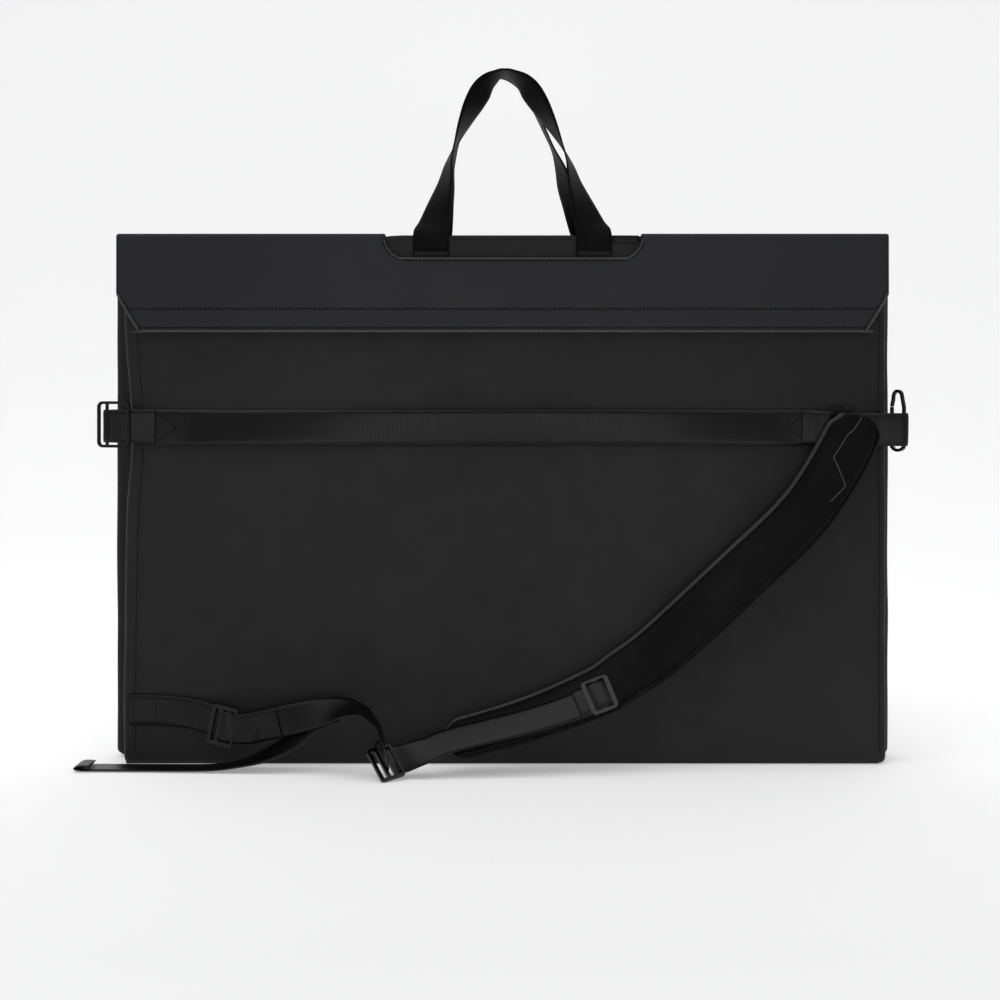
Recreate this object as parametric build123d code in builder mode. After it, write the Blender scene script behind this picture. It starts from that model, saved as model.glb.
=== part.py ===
"""Folding garment bag: two flat compartments that fold together about a bottom spine, closed by a
slotted top flap, carried by two webbing handles or a padded shoulder strap.

Row frame, millimetres: X across the bag, -Y out of its front face, +Z up, origin at the middle of the
foot of the fold.
"""

import math
import os

from build123d import *

os.makedirs("parts", exist_ok=True)

# ---------------------------------------------------------------- driving dimensions
BAG_WIDTH = 640.0
FLAP_WIDTH = 642.0
HALF_DEPTH = 28.0  # outer face of each half, from the fold plane
FOLD_GAP = 1.5  # inner face of each half, from the fold plane
CLOTH = 1.6  # coated fabric of the shells
LINING = 0.8
BOARD = 1.2
SHELL_FOOT = 4.0  # the shells begin here, above the spine
SHELL_TOP = 440.2
SHELL_CORNER = 5.0
ZIP_HEIGHT = 437.0

FLAP_CLOTH = 1.6
FLAP_TOP = 442.8
FLAP_OUT = 32.2  # outer face of the flap's front, from the fold plane
FLAP_HEM = 361.0
FLAP_SHOULDER = 392.0
FLAP_HEM_HALF = 302.0
SLOT_LEFT = -98.0  # handle slot through the flap
SLOT_RIGHT = 116.0
SLOT_FOOT = 422.0
SLOT_CORNER = 18.0

WEB = 1.6  # webbing thickness
WIDE_WEB = 30.0
NARROW_WEB = 25.0
CROSS_HEIGHT = 281.3  # centre line of the cross strap
HANDLE_MIDDLE = 8.3
HANDLE_SPREAD = 67.9  # middle of the loop to the middle of each leg, at the seam
HANDLE_SEAM = 428.5
HANDLE_TOP = 580.0
WIRE = 2.4  # metal ring stock

HALF = BAG_WIDTH / 2
FLAP_HALF = FLAP_WIDTH / 2
FACE = -HALF_DEPTH
SHELL_INNER = HALF_DEPTH - CLOTH
BOARD_INNER = SHELL_INNER - BOARD - 0.2
LINING_FACE = FOLD_GAP + CLOTH + 0.1


def save(piece, name):
    """Labels a finished piece and writes it as its own STEP file."""
    piece.part.label = name
    export_step(piece.part, f"parts/{name}.step")


def block(name, x, y, z):
    """A plain sheet or strip between pairs of limits."""
    centre = (sum(x) / 2, sum(y) / 2, sum(z) / 2)
    with BuildPart() as piece:
        with Locations(centre):
            Box(x[1] - x[0], y[1] - y[0], z[1] - z[0])
    save(piece, name)


def offset_side(points, distance):
    """The points of an open route moved sideways by a distance, with mitred corners."""
    route = [Vector(*p) for p in points]
    runs = [(b - a).normalized() for a, b in zip(route, route[1:])]
    sides = [Vector(-r.Y, r.X) for r in runs]
    moved = [route[0] + sides[0] * distance]
    for point, before, after in zip(route[1:], sides, sides[1:]):
        mitre = (before + after).normalized()
        moved.append(point + mitre * (distance / mitre.dot(before)))
    moved.append(route[-1] + sides[-1] * distance)
    return moved


def bent_sheet(plane, points, width, thickness=WEB):
    """A sheet of one thickness bent along a route in a plane, and as wide as given across it."""
    left = offset_side(points, thickness / 2)
    right = offset_side(points, -thickness / 2)
    outline = [(p.X, p.Y) for p in left + right[::-1]]
    with BuildPart() as piece:
        with BuildSketch(plane):
            with BuildLine():
                Polyline(*outline, close=True)
            make_face()
        extrude(amount=width / 2, both=True)
    return piece


def arc_points(centre, radius, start, end, count=8):
    """Points along a circular arc, angles in degrees."""
    steps = [start + (end - start) * i / count for i in range(count + 1)]
    return [
        (
            centre[0] + radius * math.cos(math.radians(a)),
            centre[1] + radius * math.sin(math.radians(a)),
        )
        for a in steps
    ]


def ribbon(points, across, width, thickness):
    """Flat webbing lofted along a route, with the direction of its width given at each point."""
    route = [Vector(*p) for p in points]
    inner = [b - a for a, b in zip(route, route[2:])]
    along = [route[1] - route[0], *inner, route[-1] - route[-2]]
    widths = width if isinstance(width, list) else [width] * len(points)
    with BuildPart() as piece:
        for point, run, side, wide in zip(route, along, across, widths):
            run = run.normalized()
            side = Vector(*side)
            with BuildSketch(Plane(origin=point, x_dir=side - run * side.dot(run), z_dir=run)):
                Rectangle(wide, thickness)
        loft(ruled=True)
    return piece


def rounded_tube(name, half_width, y, z, wall, corner):
    """An upright flat sleeve, open at its top and foot."""
    middle = (y[0] + y[1]) / 2
    depth = y[1] - y[0]
    with BuildPart() as piece:
        with BuildSketch(Plane.XY.offset(z[0])):
            with Locations((0, middle)):
                RectangleRounded(2 * half_width, depth, corner)
                RectangleRounded(
                    2 * (half_width - wall), depth - 2 * wall, corner - wall, mode=Mode.SUBTRACT
                )
        extrude(amount=z[1] - z[0])
    save(piece, name)


def across_bag(x, points, width, thickness=WEB):
    """A sheet bent in the Y-Z plane, centred at x."""
    upright = Plane(origin=(x, 0, 0), x_dir=(0, 1, 0), z_dir=(1, 0, 0))
    return bent_sheet(upright, points, width, thickness)


def around_edge(z, points, width, thickness=WEB):
    """A sheet bent in the X-Y plane, centred at z."""
    return bent_sheet(Plane.XY.offset(z), points, width, thickness)


# ---------------------------------------------------------------- the two halves
for name, near, far in (("back", FOLD_GAP, HALF_DEPTH), ("front", -HALF_DEPTH, -FOLD_GAP)):
    sign = 1 if name == "back" else -1
    rounded_tube(f"{name}_shell", HALF, (near, far), (SHELL_FOOT, SHELL_TOP), CLOTH, SHELL_CORNER)
    board_y = sorted((sign * (SHELL_INNER - 0.1), sign * (SHELL_INNER - 0.1 - BOARD)))
    block(f"{name}_stiffener_board", (-300, 300), board_y, (SHELL_FOOT + 12, SHELL_TOP - 14))
    lining_y = sorted((sign * LINING_FACE, sign * BOARD_INNER))
    rounded_tube(
        f"{name}_lining", HALF - CLOTH - 0.3, lining_y, (SHELL_FOOT + 1, ZIP_HEIGHT - 4), LINING, 3.0
    )

# Spine: joins the two shells along the foot of the fold
spine = across_bag(0, [(-27.2, 3.5), (-27.2, 0.7), (27.2, 0.7), (27.2, 3.5)], BAG_WIDTH - 2, 1.4)
save(spine, "fold_spine")

# ---------------------------------------------------------------- closures at the tops
ZIP_MIDDLE = -(HALF_DEPTH + FOLD_GAP) / 2
CHAIN_FRONT = ZIP_MIDDLE - 2.2
CHAIN_BACK = ZIP_MIDDLE + 2.2
tape_z = (ZIP_HEIGHT - 0.5, ZIP_HEIGHT + 0.5)
block("front_zip_tape_outer", (-314, 314), (FACE + CLOTH, CHAIN_FRONT), tape_z)
block("front_zip_tape_inner", (-314, 314), (CHAIN_BACK, -FOLD_GAP - CLOTH), tape_z)
block("front_zip_chain", (-300, 312), (CHAIN_FRONT, CHAIN_BACK), (ZIP_HEIGHT - 1, ZIP_HEIGHT + 1))

# The slider body bridges the chain from above and runs along it
with BuildPart() as zip_slider:
    with Locations((-292, ZIP_MIDDLE, ZIP_HEIGHT + 2.4)):
        Box(13, 8.0, 1.4)
    for cheek in (ZIP_MIDDLE - 3.4, ZIP_MIDDLE + 3.4):
        with Locations((-292, cheek, ZIP_HEIGHT + 1.35)):
            Box(11, 1.2, 0.9)
save(zip_slider, "zip_slider")
with BuildPart() as zip_pull:
    with BuildSketch(Plane.XY.offset(ZIP_HEIGHT + 3.1)):
        with Locations((-276, ZIP_MIDDLE)):
            SlotOverall(34, 7)
        with Locations((-264, ZIP_MIDDLE)):
            Circle(1.6, mode=Mode.SUBTRACT)
    extrude(amount=0.7)
save(zip_pull, "zip_pull")

# ---------------------------------------------------------------- garment fixings inside
block("hanger_bracket_tab", (-14, 14), (3.4 + LINING + 0.3, 5.9), (398, 432))
with BuildPart() as hanger_ring:
    with BuildSketch(Plane.XZ.offset(-10)):
        with Locations((0, 396)):
            RectangleRounded(36, 26, 6)
            RectangleRounded(30, 20, 3.5, mode=Mode.SUBTRACT)
    extrude(amount=WIRE)
save(hanger_ring, "hanger_ring")
for name, low, high in (("back", 6.0, 7.4), ("front", -7.4, -6.0)):
    block(f"{name}_garment_strap_left", (-314, -20), (low, high), (208, 233))
    block(f"{name}_garment_strap_right", (22, 314), (low, high), (208, 233))
    with BuildPart() as buckle_body:
        with BuildSketch(Plane.XZ.offset(-(low + high) / 2)):
            with Locations((-4, 220.5)):
                RectangleRounded(31, 34, 3)
        extrude(amount=2.5, both=True)
        with Locations((4, (low + high) / 2, 220.5)):
            Box(17, 2.6, 24, mode=Mode.SUBTRACT)
    save(buckle_body, f"{name}_buckle_socket")
    with BuildPart() as buckle_tongue:
        with Locations((16.9, (low + high) / 2, 220.5)):
            Box(9.8, 4, 30)
        with Locations((6, (low + high) / 2, 212), (6, (low + high) / 2, 229)):
            Box(12, 2, 5)
    save(buckle_tongue, f"{name}_buckle_tongue")

# ---------------------------------------------------------------- flap
SLOT_MIDDLE = (SLOT_LEFT + SLOT_RIGHT) / 2
SLOT_WIDTH = SLOT_RIGHT - SLOT_LEFT
FOLD_LINE = FLAP_TOP - 2.0  # the front panel of the flap hangs from here


def flap_panel(y, foot, shoulder, foot_half, top, slot=True):
    """Upright flap panel with chamfered lower corners and the lower part of the handle slot."""
    with BuildPart() as piece:
        with BuildSketch(Plane.XZ.offset(-y)):
            with BuildLine():
                Polyline(
                    (-FLAP_HALF, top),
                    (FLAP_HALF, top),
                    (FLAP_HALF, shoulder),
                    (foot_half, foot),
                    (-foot_half, foot),
                    (-FLAP_HALF, shoulder),
                    close=True,
                )
            make_face()
            if slot:
                with Locations((SLOT_MIDDLE, SLOT_FOOT + 30)):
                    RectangleRounded(SLOT_WIDTH, 60, SLOT_CORNER, mode=Mode.SUBTRACT)
        extrude(amount=FLAP_CLOTH)
    return piece


save(flap_panel(-FLAP_OUT + FLAP_CLOTH, FLAP_HEM, FLAP_SHOULDER, FLAP_HEM_HALF, FOLD_LINE), "flap_front")
save(flap_panel(28.2 + FLAP_CLOTH, 388, 398, 306, 437.5), "flap_anchor_band")

top_route = [(-FLAP_OUT, FLAP_TOP - 0.8), (29.4, FLAP_TOP - 0.8), (29.4, 438.2)]
save(across_bag((SLOT_LEFT - FLAP_HALF) / 2, top_route, SLOT_LEFT + FLAP_HALF), "flap_top_left")
save(across_bag((SLOT_RIGHT + FLAP_HALF) / 2, top_route, FLAP_HALF - SLOT_RIGHT), "flap_top_right")

HEM_BACK = -FLAP_OUT + FLAP_CLOTH
block("flap_hem_facing", (-300, 300), (HEM_BACK, HEM_BACK + 0.8), (FLAP_HEM + 1, FLAP_HEM + 19))
for name, left in (("left", -245), ("right", 125)):
    x = (left, left + 120)
    block(f"flap_hook_tape_{name}", x, (HEM_BACK + 0.8, HEM_BACK + 1.4), (FLAP_HEM + 2, FLAP_HEM + 18))
    block(f"panel_loop_tape_{name}", x, (FACE - 0.8, FACE), (FLAP_HEM + 2, FLAP_HEM + 18))

# ---------------------------------------------------------------- handles
LEGS = [  # height, half spread, turn of the webbing in degrees
    (428.8, 67.9, 0),
    (436.0, 67.9, 0),
    (443.5, 67.4, 0),
    (454.1, 64.1, 27),
    (470.8, 59.5, 48),
    (487.4, 54.6, 64),
    (504.1, 50.8, 77),
    (520.8, 44.2, 90),
    (537.5, 36.2, 106),
    (554.1, 26.8, 122),
    (566.0, 18.6, 124),
    (575.0, 9.0, 106),
]


def handle(name, side, narrowing):
    """Carrying loop; side is -1 for the front loop and +1 for the back one."""
    points = []
    across = []
    for end in (-1, 1):
        rows = LEGS if end < 0 else LEGS[::-1]
        for height, spread, turn in rows:
            if side > 0 and end > 0:
                turn = min(turn, 90)
            rise = max(0.0, (height - 441) / (HANDLE_TOP - 441))
            drawn_in = narrowing * min(1.0, max(0.0, (height - 445) / 50)) * (end > 0)
            x = HANDLE_MIDDLE + end * spread - 6.2 * rise - drawn_in * spread / HANDLE_SPREAD
            depth = 29.2 - 13.2 * math.sin(math.radians(turn))
            points.append((x, side * depth, height))
            swing = math.radians(turn)
            across.append((-end * math.cos(swing), side * math.sin(swing), 0))
        if end < 0:
            points.append((HANDLE_MIDDLE - 6.2 - narrowing / 3, side * 16.0, HANDLE_TOP - 0.9))
            across.append((0, side, 0))
    save(ribbon(points, across, WIDE_WEB, WEB), name)


handle("front_handle", -1, 0.0)
handle("back_handle", 1, 9.0)
for name, y in (("front", (FACE - 2.0, FACE)), ("back", (HALF_DEPTH, HALF_DEPTH + 2.0))):
    for end, x in (("left", HANDLE_MIDDLE - HANDLE_SPREAD), ("right", HANDLE_MIDDLE + HANDLE_SPREAD)):
        block(f"{name}_handle_patch_{end}", (x - 16, x + 16), y, (423.2, 427.8))

# ---------------------------------------------------------------- cross strap and left ring
strap_y = (FACE - WEB, FACE)
block("cross_strap", (-290, 252), strap_y, (CROSS_HEIGHT - 15, CROSS_HEIGHT + 15))

RING_BAR = (-328.6, -31.8)
loop_turn = arc_points(RING_BAR, 2.6, 90, 270)
left_loop = [(-291, FACE - 0.8), (-304, FACE - 0.8), *loop_turn, (-304, -34.4), (-296, -30.6), (-291, -30.4)]
save(around_edge(CROSS_HEIGHT + 1.2, left_loop, WIDE_WEB - 2), "left_ring_loop")


def ring_frame(name, plane, width, height, bar_at):
    """Rectangular ring with one extra bar across it."""
    with BuildPart() as piece:
        with BuildSketch(plane):
            RectangleRounded(width, height, 5)
            RectangleRounded(width - 2 * WIRE, height - 2 * WIRE, 2.5, mode=Mode.SUBTRACT)
            with Locations((bar_at, 0)):
                Rectangle(WIRE * 0.8, height - WIRE)
        extrude(amount=WIRE * 0.45, both=True)
    save(piece, name)


ring_tilt = math.radians(20)
ring_x = Vector(math.cos(ring_tilt), -math.sin(ring_tilt), 0)
ring_centre = Vector(RING_BAR[0], RING_BAR[1], CROSS_HEIGHT + 2.6) + ring_x * 6.4
ring_plane = Plane(origin=ring_centre, x_dir=ring_x, z_dir=ring_x.cross(Vector(0, 0, 1)))
ring_frame("left_ring", ring_plane, 31, 38.5, -6.4)

# ---------------------------------------------------------------- right loop and snap hook
HOOK_BAR = (333.6, -32.0)
hook_turn = arc_points(HOOK_BAR, 2.8, 90, -90)
right_loop = [(297, FACE - 0.8), (318, FACE - 0.8), *hook_turn, (318, -34.6), (305, -30.6), (297, -30.4)]
save(around_edge(279.8, right_loop, WIDE_WEB - 3), "right_side_loop")

hook_lean = math.radians(24)
hook_x = Vector(-math.sin(hook_lean), math.cos(hook_lean), 0)
hook_origin = Vector(HOOK_BAR[0], HOOK_BAR[1], 0)
hook_plane = Plane(origin=hook_origin, x_dir=hook_x, z_dir=hook_x.cross(Vector(0, 0, 1)))
with BuildPart() as hook:
    with BuildSketch(hook_plane):
        with BuildLine():
            hook_bar = Line((0, 265.2), (0, 298))
            hook_shoulder = Line((0, 298), (3, 309))
            hook_top = RadiusArc((3, 309), (14, 305), 6.0)
            hook_nose = Line((14, 305), (16, 299))
        trace(line_width=2.4)
        with BuildLine():
            hook_foot = RadiusArc((0, 265.2), (16, 265.2), -12.0)
            hook_heel = Line((16, 265.2), (16, 269.8))
        trace(line_width=2.4)
    extrude(amount=1.2, both=True)
save(hook, "snap_hook_frame")
with BuildPart() as gate:
    with BuildSketch(hook_plane):
        with Locations((16, 284.5)):
            SlotOverall(28.0, 2.4, rotation=90)
    extrude(amount=1.2, both=True)
save(gate, "snap_hook_gate")

# ---------------------------------------------------------------- right anchor of the shoulder strap
ANCHOR_X = 272.0
anchor_turn = arc_points((ANCHOR_X, -31.8), 2.6, 90, -90)
anchor = [(253, FACE - 0.8), (262, FACE - 0.8), *anchor_turn, (266, -34.4), (258, -30.6), (253, -30.4)]
save(around_edge(CROSS_HEIGHT, anchor, WIDE_WEB - 2), "right_anchor_loop")
with BuildPart() as anchor_ring:
    with BuildSketch(Plane.XZ.offset(31.8)):
        with Locations((281.5, CROSS_HEIGHT)):
            RectangleRounded(22, 35, 4)
            RectangleRounded(22 - 2 * WIRE, 35 - 2 * WIRE, 2, mode=Mode.SUBTRACT)
    extrude(amount=WIRE / 2, both=True)
save(anchor_ring, "right_anchor_ring")
end_turn = arc_points((291.3, -31.8), 2.6, -90, 90)
end_loop = [(277, -38.6), (286, -37.4), *end_turn, (288, -29.6), (284.5, -33.5), (278, -36.6)]
save(around_edge(CROSS_HEIGHT, end_loop, NARROW_WEB), "pad_end_loop")

# ---------------------------------------------------------------- lower left tab and ladder lock
lower_tab = ribbon(
    [(-311, -29.7, 46.5), (-285, -29.7, 45.9), (-262, -31.0, 44.0), (-243, -36.0, 40.0)],
    [(0.02, 0, 1), (0.03, 0, 1), (0.08, 0, 1), (0.14, 0, 1)],
    NARROW_WEB,
    2 * WEB,
)
save(lower_tab, "lower_tab")
with BuildPart() as lower_lock:
    with BuildSketch(Plane(origin=(-231, -41, 35.5), x_dir=(0.97, -0.15, -0.2), z_dir=(-0.15, -0.98, 0))):
        RectangleRounded(22, 33, 3)
        with Locations((-6.2, 0), (0.5, 0), (6.8, 0)):
            Rectangle(3.6, 27, mode=Mode.SUBTRACT)
    extrude(amount=1.6, both=True)
save(lower_lock, "lower_ladder_lock")

# ---------------------------------------------------------------- shoulder strap
PAD_ROUTE = [
    (291.0, -44.0, 293.0),
    (284.9, -44.0, 269.5),
    (250.2, -44.0, 213.4),
    (196.9, -44.0, 160.7),
    (130.3, -48.0, 100.2),
    (97.0, -51.6, 77.4),
    (77.3, -54.0, 65.5),
    (22.4, -60.0, 44.6),
    (-46.5, -66.0, 26.0),
]
PAD_ACROSS = [
    (1.0, 0.0, -0.25),
    (0.93, 0.0, -0.36),
    (0.85, 0.0, -0.53),
    (0.72, -0.05, -0.68),
    (0.60, -0.35, -0.74),
    (0.50, -0.54, -0.74),
    (0.45, -0.62, -0.74),
    (0.30, -0.72, -0.66),
    (0.22, -0.74, -0.62),
]
PAD_WIDTH = [38.0, 44.0, 44.0, 44.0, 43.0, 42.5, 42.0, 41.0, 38.0]
save(ribbon(PAD_ROUTE, PAD_ACROSS, PAD_WIDTH, 7.0), "shoulder_pad")


def beside(points, across, shifts, lift):
    """A route moved across and out of the face of the pad it follows."""
    route = [Vector(*p) for p in points]
    runs = [route[1] - route[0], *[b - a for a, b in zip(route, route[2:])], route[-1] - route[-2]]
    moved = []
    for point, run, side, shift in zip(route, runs, across, shifts):
        run = run.normalized()
        side = Vector(*side)
        side = (side - run * side.dot(run)).normalized()
        out = run.cross(side) if run.cross(side).Y < 0 else side.cross(run)
        moved.append(tuple(point + side * shift + out * lift))
    return moved


# Webbing sewn on the lower side of the pad's face, from the slider to the pad's end
WEB_START = (83.2, -53.3, 69.1)
web_across = [PAD_ACROSS[6], *PAD_ACROSS[6:]]
web_route = beside([WEB_START, *PAD_ROUTE[6:]], web_across, (7.2, 7.2, 5.0, 3.0), 4.6)
save(ribbon(web_route, web_across, NARROW_WEB, 1.4), "pad_webbing")
patch_route = beside(PAD_ROUTE[:2], PAD_ACROSS[:2], (0, 0), 4.4)
save(ribbon(patch_route, PAD_ACROSS[:2], 34.0, 1.4), "pad_end_patch")

slider_at = Vector(*web_route[1])
slider_run = (Vector(*web_route[2]) - Vector(*web_route[0])).normalized()
slider_side = Vector(*PAD_ACROSS[6])
slider_side = (slider_side - slider_run * slider_side.dot(slider_run)).normalized()
slider_out = slider_run.cross(slider_side)
slider_out = slider_out if slider_out.Y < 0 else -slider_out
slider_plane = Plane(origin=slider_at + slider_out * 3.6, x_dir=slider_run, z_dir=slider_out)
with BuildPart() as pad_slider:
    with BuildSketch(slider_plane):
        RectangleRounded(23, 30, 3)
        with Locations((-5.0, 0), (5.0, 0)):
            Rectangle(5.4, 26, mode=Mode.SUBTRACT)
    extrude(amount=1.2, both=True)
save(pad_slider, "pad_slider")

lead = ribbon(
    [(-51.0, -72.4, 25.8), (-60.0, -73.8, 22.6), (-71.0, -74.6, 18.8), (-80.4, -74.0, 15.4)],
    [(0.22, -0.74, -0.62), (0.3, -0.7, -0.63), (0.4, -0.62, -0.66), (0.47, -0.57, -0.675)],
    NARROW_WEB,
    WEB,
)
save(lead, "lead_webbing")
LOCK_AT = (-93.5, -79.0, 12.9)
LOCK_OUT = (0.242, -0.652, 0.72)
with BuildPart() as upper_lock:
    with BuildSketch(Plane(LOCK_AT, x_dir=(0.849, 0.501, 0.168), z_dir=LOCK_OUT)):
        RectangleRounded(22, 31, 3)
        with Locations((-6.4, 0), (0, 0), (6.4, 0)):
            Rectangle(3.6, 26, mode=Mode.SUBTRACT)
    extrude(amount=1.4, both=True)
save(upper_lock, "upper_ladder_lock")

joining = ribbon(
    [
        (-212.5, -44.6, 32.6),
        (-199.0, -46.8, 35.8),
        (-183.3, -50.0, 39.8),
        (-160.0, -56.5, 46.5),
        (-142.6, -62.0, 51.4),
        (-127.2, -69.0, 54.5),
        (-112.2, -76.0, 52.5),
        (-101.0, -81.0, 43.0),
        (-96.6, -84.8, 33.0),
        (-94.4, -86.2, 24.8),
        (-96.2, -81.4, 19.4),
    ],
    [
        (-0.1, 0.0, 1.0),
        (-0.1, -0.05, 1.0),
        (-0.12, 0.1, 0.99),
        (-0.2, 0.4, 0.9),
        (-0.2, 0.7, 0.7),
        (-0.1, 0.9, 0.4),
        (0.0, 1.0, 0.15),
        (0.0, 1.0, 0.05),
        (-0.05, 1.0, 0.1),
        (-0.25, 0.85, 0.35),
        (-0.47, 0.57, 0.675),
    ],
    NARROW_WEB,
    WEB,
)
save(joining, "joining_webbing")

tail = ribbon(
    [
        (-150.0, -58.0, 36.0),
        (-168.0, -55.0, 26.0),
        (-192.0, -52.0, 14.0),
        (-215.0, -50.0, 6.0),
        (-240.0, -48.0, 2.2),
        (-290.0, -45.0, 1.4),
        (-330.0, -44.0, 1.4),
        (-344.0, -44.0, 1.5),
    ],
    [
        (0.2, -0.8, -0.45),
        (0.2, -0.85, -0.4),
        (0.1, -0.93, -0.25),
        (0.0, -1.0, -0.05),
        (0.0, -1.0, 0.0),
        (0.0, -1.0, 0.0),
        (0.0, -1.0, 0.0),
        (0.0, -1.0, 0.0),
    ],
    NARROW_WEB,
    WEB,
)
save(tail, "strap_tail")
block("strap_tail_end_fold", (-352.0, -344.4), (-56.5, -31.5), (0.2, 6.2))
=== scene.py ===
"""Folding garment bag, dressed in coated fabric, webbing and black hardware on its CAD frame."""

import math

import bmesh
import bpy
import numpy as np
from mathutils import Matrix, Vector, noise


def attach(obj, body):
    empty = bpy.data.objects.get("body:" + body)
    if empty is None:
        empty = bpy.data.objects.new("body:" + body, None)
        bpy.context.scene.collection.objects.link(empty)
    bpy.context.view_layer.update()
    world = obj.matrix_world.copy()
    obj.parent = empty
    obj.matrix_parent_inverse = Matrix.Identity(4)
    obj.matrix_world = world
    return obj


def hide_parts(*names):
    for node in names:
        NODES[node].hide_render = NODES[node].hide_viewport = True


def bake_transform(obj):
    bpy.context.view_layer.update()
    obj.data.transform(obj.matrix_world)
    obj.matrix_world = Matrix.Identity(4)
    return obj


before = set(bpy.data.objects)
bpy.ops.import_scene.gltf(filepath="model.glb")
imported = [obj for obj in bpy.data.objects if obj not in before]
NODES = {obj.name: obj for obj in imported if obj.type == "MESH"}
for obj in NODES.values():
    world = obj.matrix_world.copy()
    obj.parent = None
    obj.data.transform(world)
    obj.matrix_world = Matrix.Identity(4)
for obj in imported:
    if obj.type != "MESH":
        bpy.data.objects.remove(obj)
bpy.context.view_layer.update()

MM = 0.001

# ---------------------------------------------------------------- camera, light and floor
cam_data = bpy.data.cameras.new("camera")
camera = bpy.data.objects.new("camera", cam_data)
bpy.context.scene.collection.objects.link(camera)
camera.location = (-0.0021, -1.378, 0.300)
camera.rotation_euler = (math.radians(90), 0, 0)
cam_data.lens = 58.32
cam_data.shift_y = -0.095
cam_data.clip_start = 0.01
bpy.context.scene.camera = camera


def area_light(name, place, aim, size, power, size_y=None):
    """A soft light that faces a point."""
    data = bpy.data.lights.new(name, "AREA")
    data.shape = "RECTANGLE"
    data.size = size
    data.size_y = size_y or size
    data.energy = power
    obj = bpy.data.objects.new(name, data)
    bpy.context.scene.collection.objects.link(obj)
    obj.location = place
    obj.rotation_euler = (Vector(aim) - Vector(place)).to_track_quat("-Z", "Y").to_euler()
    return obj


area_light("key_top", (-0.4, -0.7, 2.2), (0, 0, 0.2), 1.8, 15)
area_light("fill_left", (-2.3, -1.0, 0.9), (0, 0, 0.25), 1.5, 3)
area_light("fill_right", (2.3, -0.8, 0.9), (0, 0, 0.25), 1.5, 2.5)
area_light("front_glow", (0.06, -2.0, 0.13), (0.02, 0, 0.28), 0.45, 5.0, 0.3)
bpy.context.scene.view_settings.view_transform = "Standard"

# sky dome: bright overhead, dim towards the horizon
world = bpy.data.worlds.new("studio")
bpy.context.scene.world = world
world.use_nodes = True
sky = world.node_tree
sky_split = sky.nodes.new("ShaderNodeSeparateXYZ")
sky.links.new(sky.nodes.new("ShaderNodeTexCoord").outputs["Generated"], sky_split.inputs[0])
sky_ramp = sky.nodes.new("ShaderNodeValToRGB")
sky_ramp.color_ramp.elements[0].color = (0.24, 0.24, 0.25, 1)
sky_ramp.color_ramp.elements[1].position = 0.75
sky_ramp.color_ramp.elements[1].color = (1.0, 1.0, 1.0, 1)
sky.links.new(sky_split.outputs["Z"], sky_ramp.inputs["Fac"])
sky.links.new(sky_ramp.outputs["Color"], sky.nodes["Background"].inputs["Color"])
sky.nodes["Background"].inputs["Strength"].default_value = 0.74


# ---------------------------------------------------------------- materials
def tint(tree, shader, factor, low, high, target="Base Color"):
    """Colours the shader by a ramp between two colours, driven by a socket."""
    ramp = tree.nodes.new("ShaderNodeValToRGB")
    ramp.color_ramp.elements[0].color = (*low, 1)
    ramp.color_ramp.elements[1].color = (*high, 1)
    tree.links.new(factor, ramp.inputs["Fac"])
    tree.links.new(ramp.outputs["Color"], shader.inputs[target])


def ranged(tree, socket, low, high, start=0.0, end=1.0):
    """A socket remapped to a range of values."""
    made = tree.nodes.new("ShaderNodeMapRange")
    made.inputs["From Min"].default_value = start
    made.inputs["From Max"].default_value = end
    made.inputs["To Min"].default_value = low
    made.inputs["To Max"].default_value = high
    tree.links.new(socket, made.inputs["Value"])
    return made.outputs["Result"]


def roughen(tree, shader, factor, rough):
    """Varies the shader's roughness between two values with a noise socket."""
    tree.links.new(ranged(tree, factor, rough[0], rough[1], 0.3, 0.7), shader.inputs["Roughness"])


def start_material(name):
    """A new material with its node tree and shader."""
    material = bpy.data.materials.new(name)
    material.use_nodes = True
    tree = material.node_tree
    return material, tree, tree.nodes["Principled BSDF"]


def bump(tree, shader, layers):
    """Stacks bump layers of (height socket, strength, distance in metres)."""
    last = None
    for height, strength, distance in layers:
        made = tree.nodes.new("ShaderNodeBump")
        made.inputs["Strength"].default_value = strength
        made.inputs["Distance"].default_value = distance
        tree.links.new(height, made.inputs["Height"])
        if last is not None:
            tree.links.new(last, made.inputs["Normal"])
        last = made.outputs["Normal"]
    tree.links.new(last, shader.inputs["Normal"])


def textured(tree, vector, kind, scale, **values):
    """A texture node on a vector socket, with its other settings by name."""
    made = tree.nodes.new(kind)
    made.inputs["Scale"].default_value = scale
    for key, value in values.items():
        if hasattr(made, key):
            setattr(made, key, value)
        else:
            made.inputs[key.replace("_", " ")].default_value = value
    tree.links.new(vector, made.inputs["Vector"])
    return made


def coated_fabric(name, low, high, rough=(0.5, 0.62), grain=0.35, specular=0.14):
    """Matte coated twill: fine grain, faint diagonal weave, soft handling marks."""
    material, tree, shader = start_material(name)
    coord = tree.nodes.new("ShaderNodeTexCoord").outputs["Object"]
    broad = textured(tree, coord, "ShaderNodeTexNoise", 5.0, Detail=3.0).outputs["Fac"]
    marks = textured(tree, coord, "ShaderNodeTexNoise", 38.0, Detail=4.0).outputs["Fac"]
    pores = textured(tree, coord, "ShaderNodeTexNoise", 1700.0, Detail=2.0).outputs["Fac"]
    twill = textured(tree, coord, "ShaderNodeTexWave", 400.0, bands_direction="DIAGONAL", Distortion=1.0)
    tint(tree, shader, ranged(tree, broad, 0, 1, 0.3, 0.7), low, high)
    roughen(tree, shader, marks, rough)
    shader.inputs["Specular IOR Level"].default_value = specular
    twill_fac = twill.outputs["Fac"]
    bump(tree, shader, [(marks, 0.12, 0.0012), (twill_fac, grain * 0.35, 0.0001), (pores, grain, 0.00012)])
    return material


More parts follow.
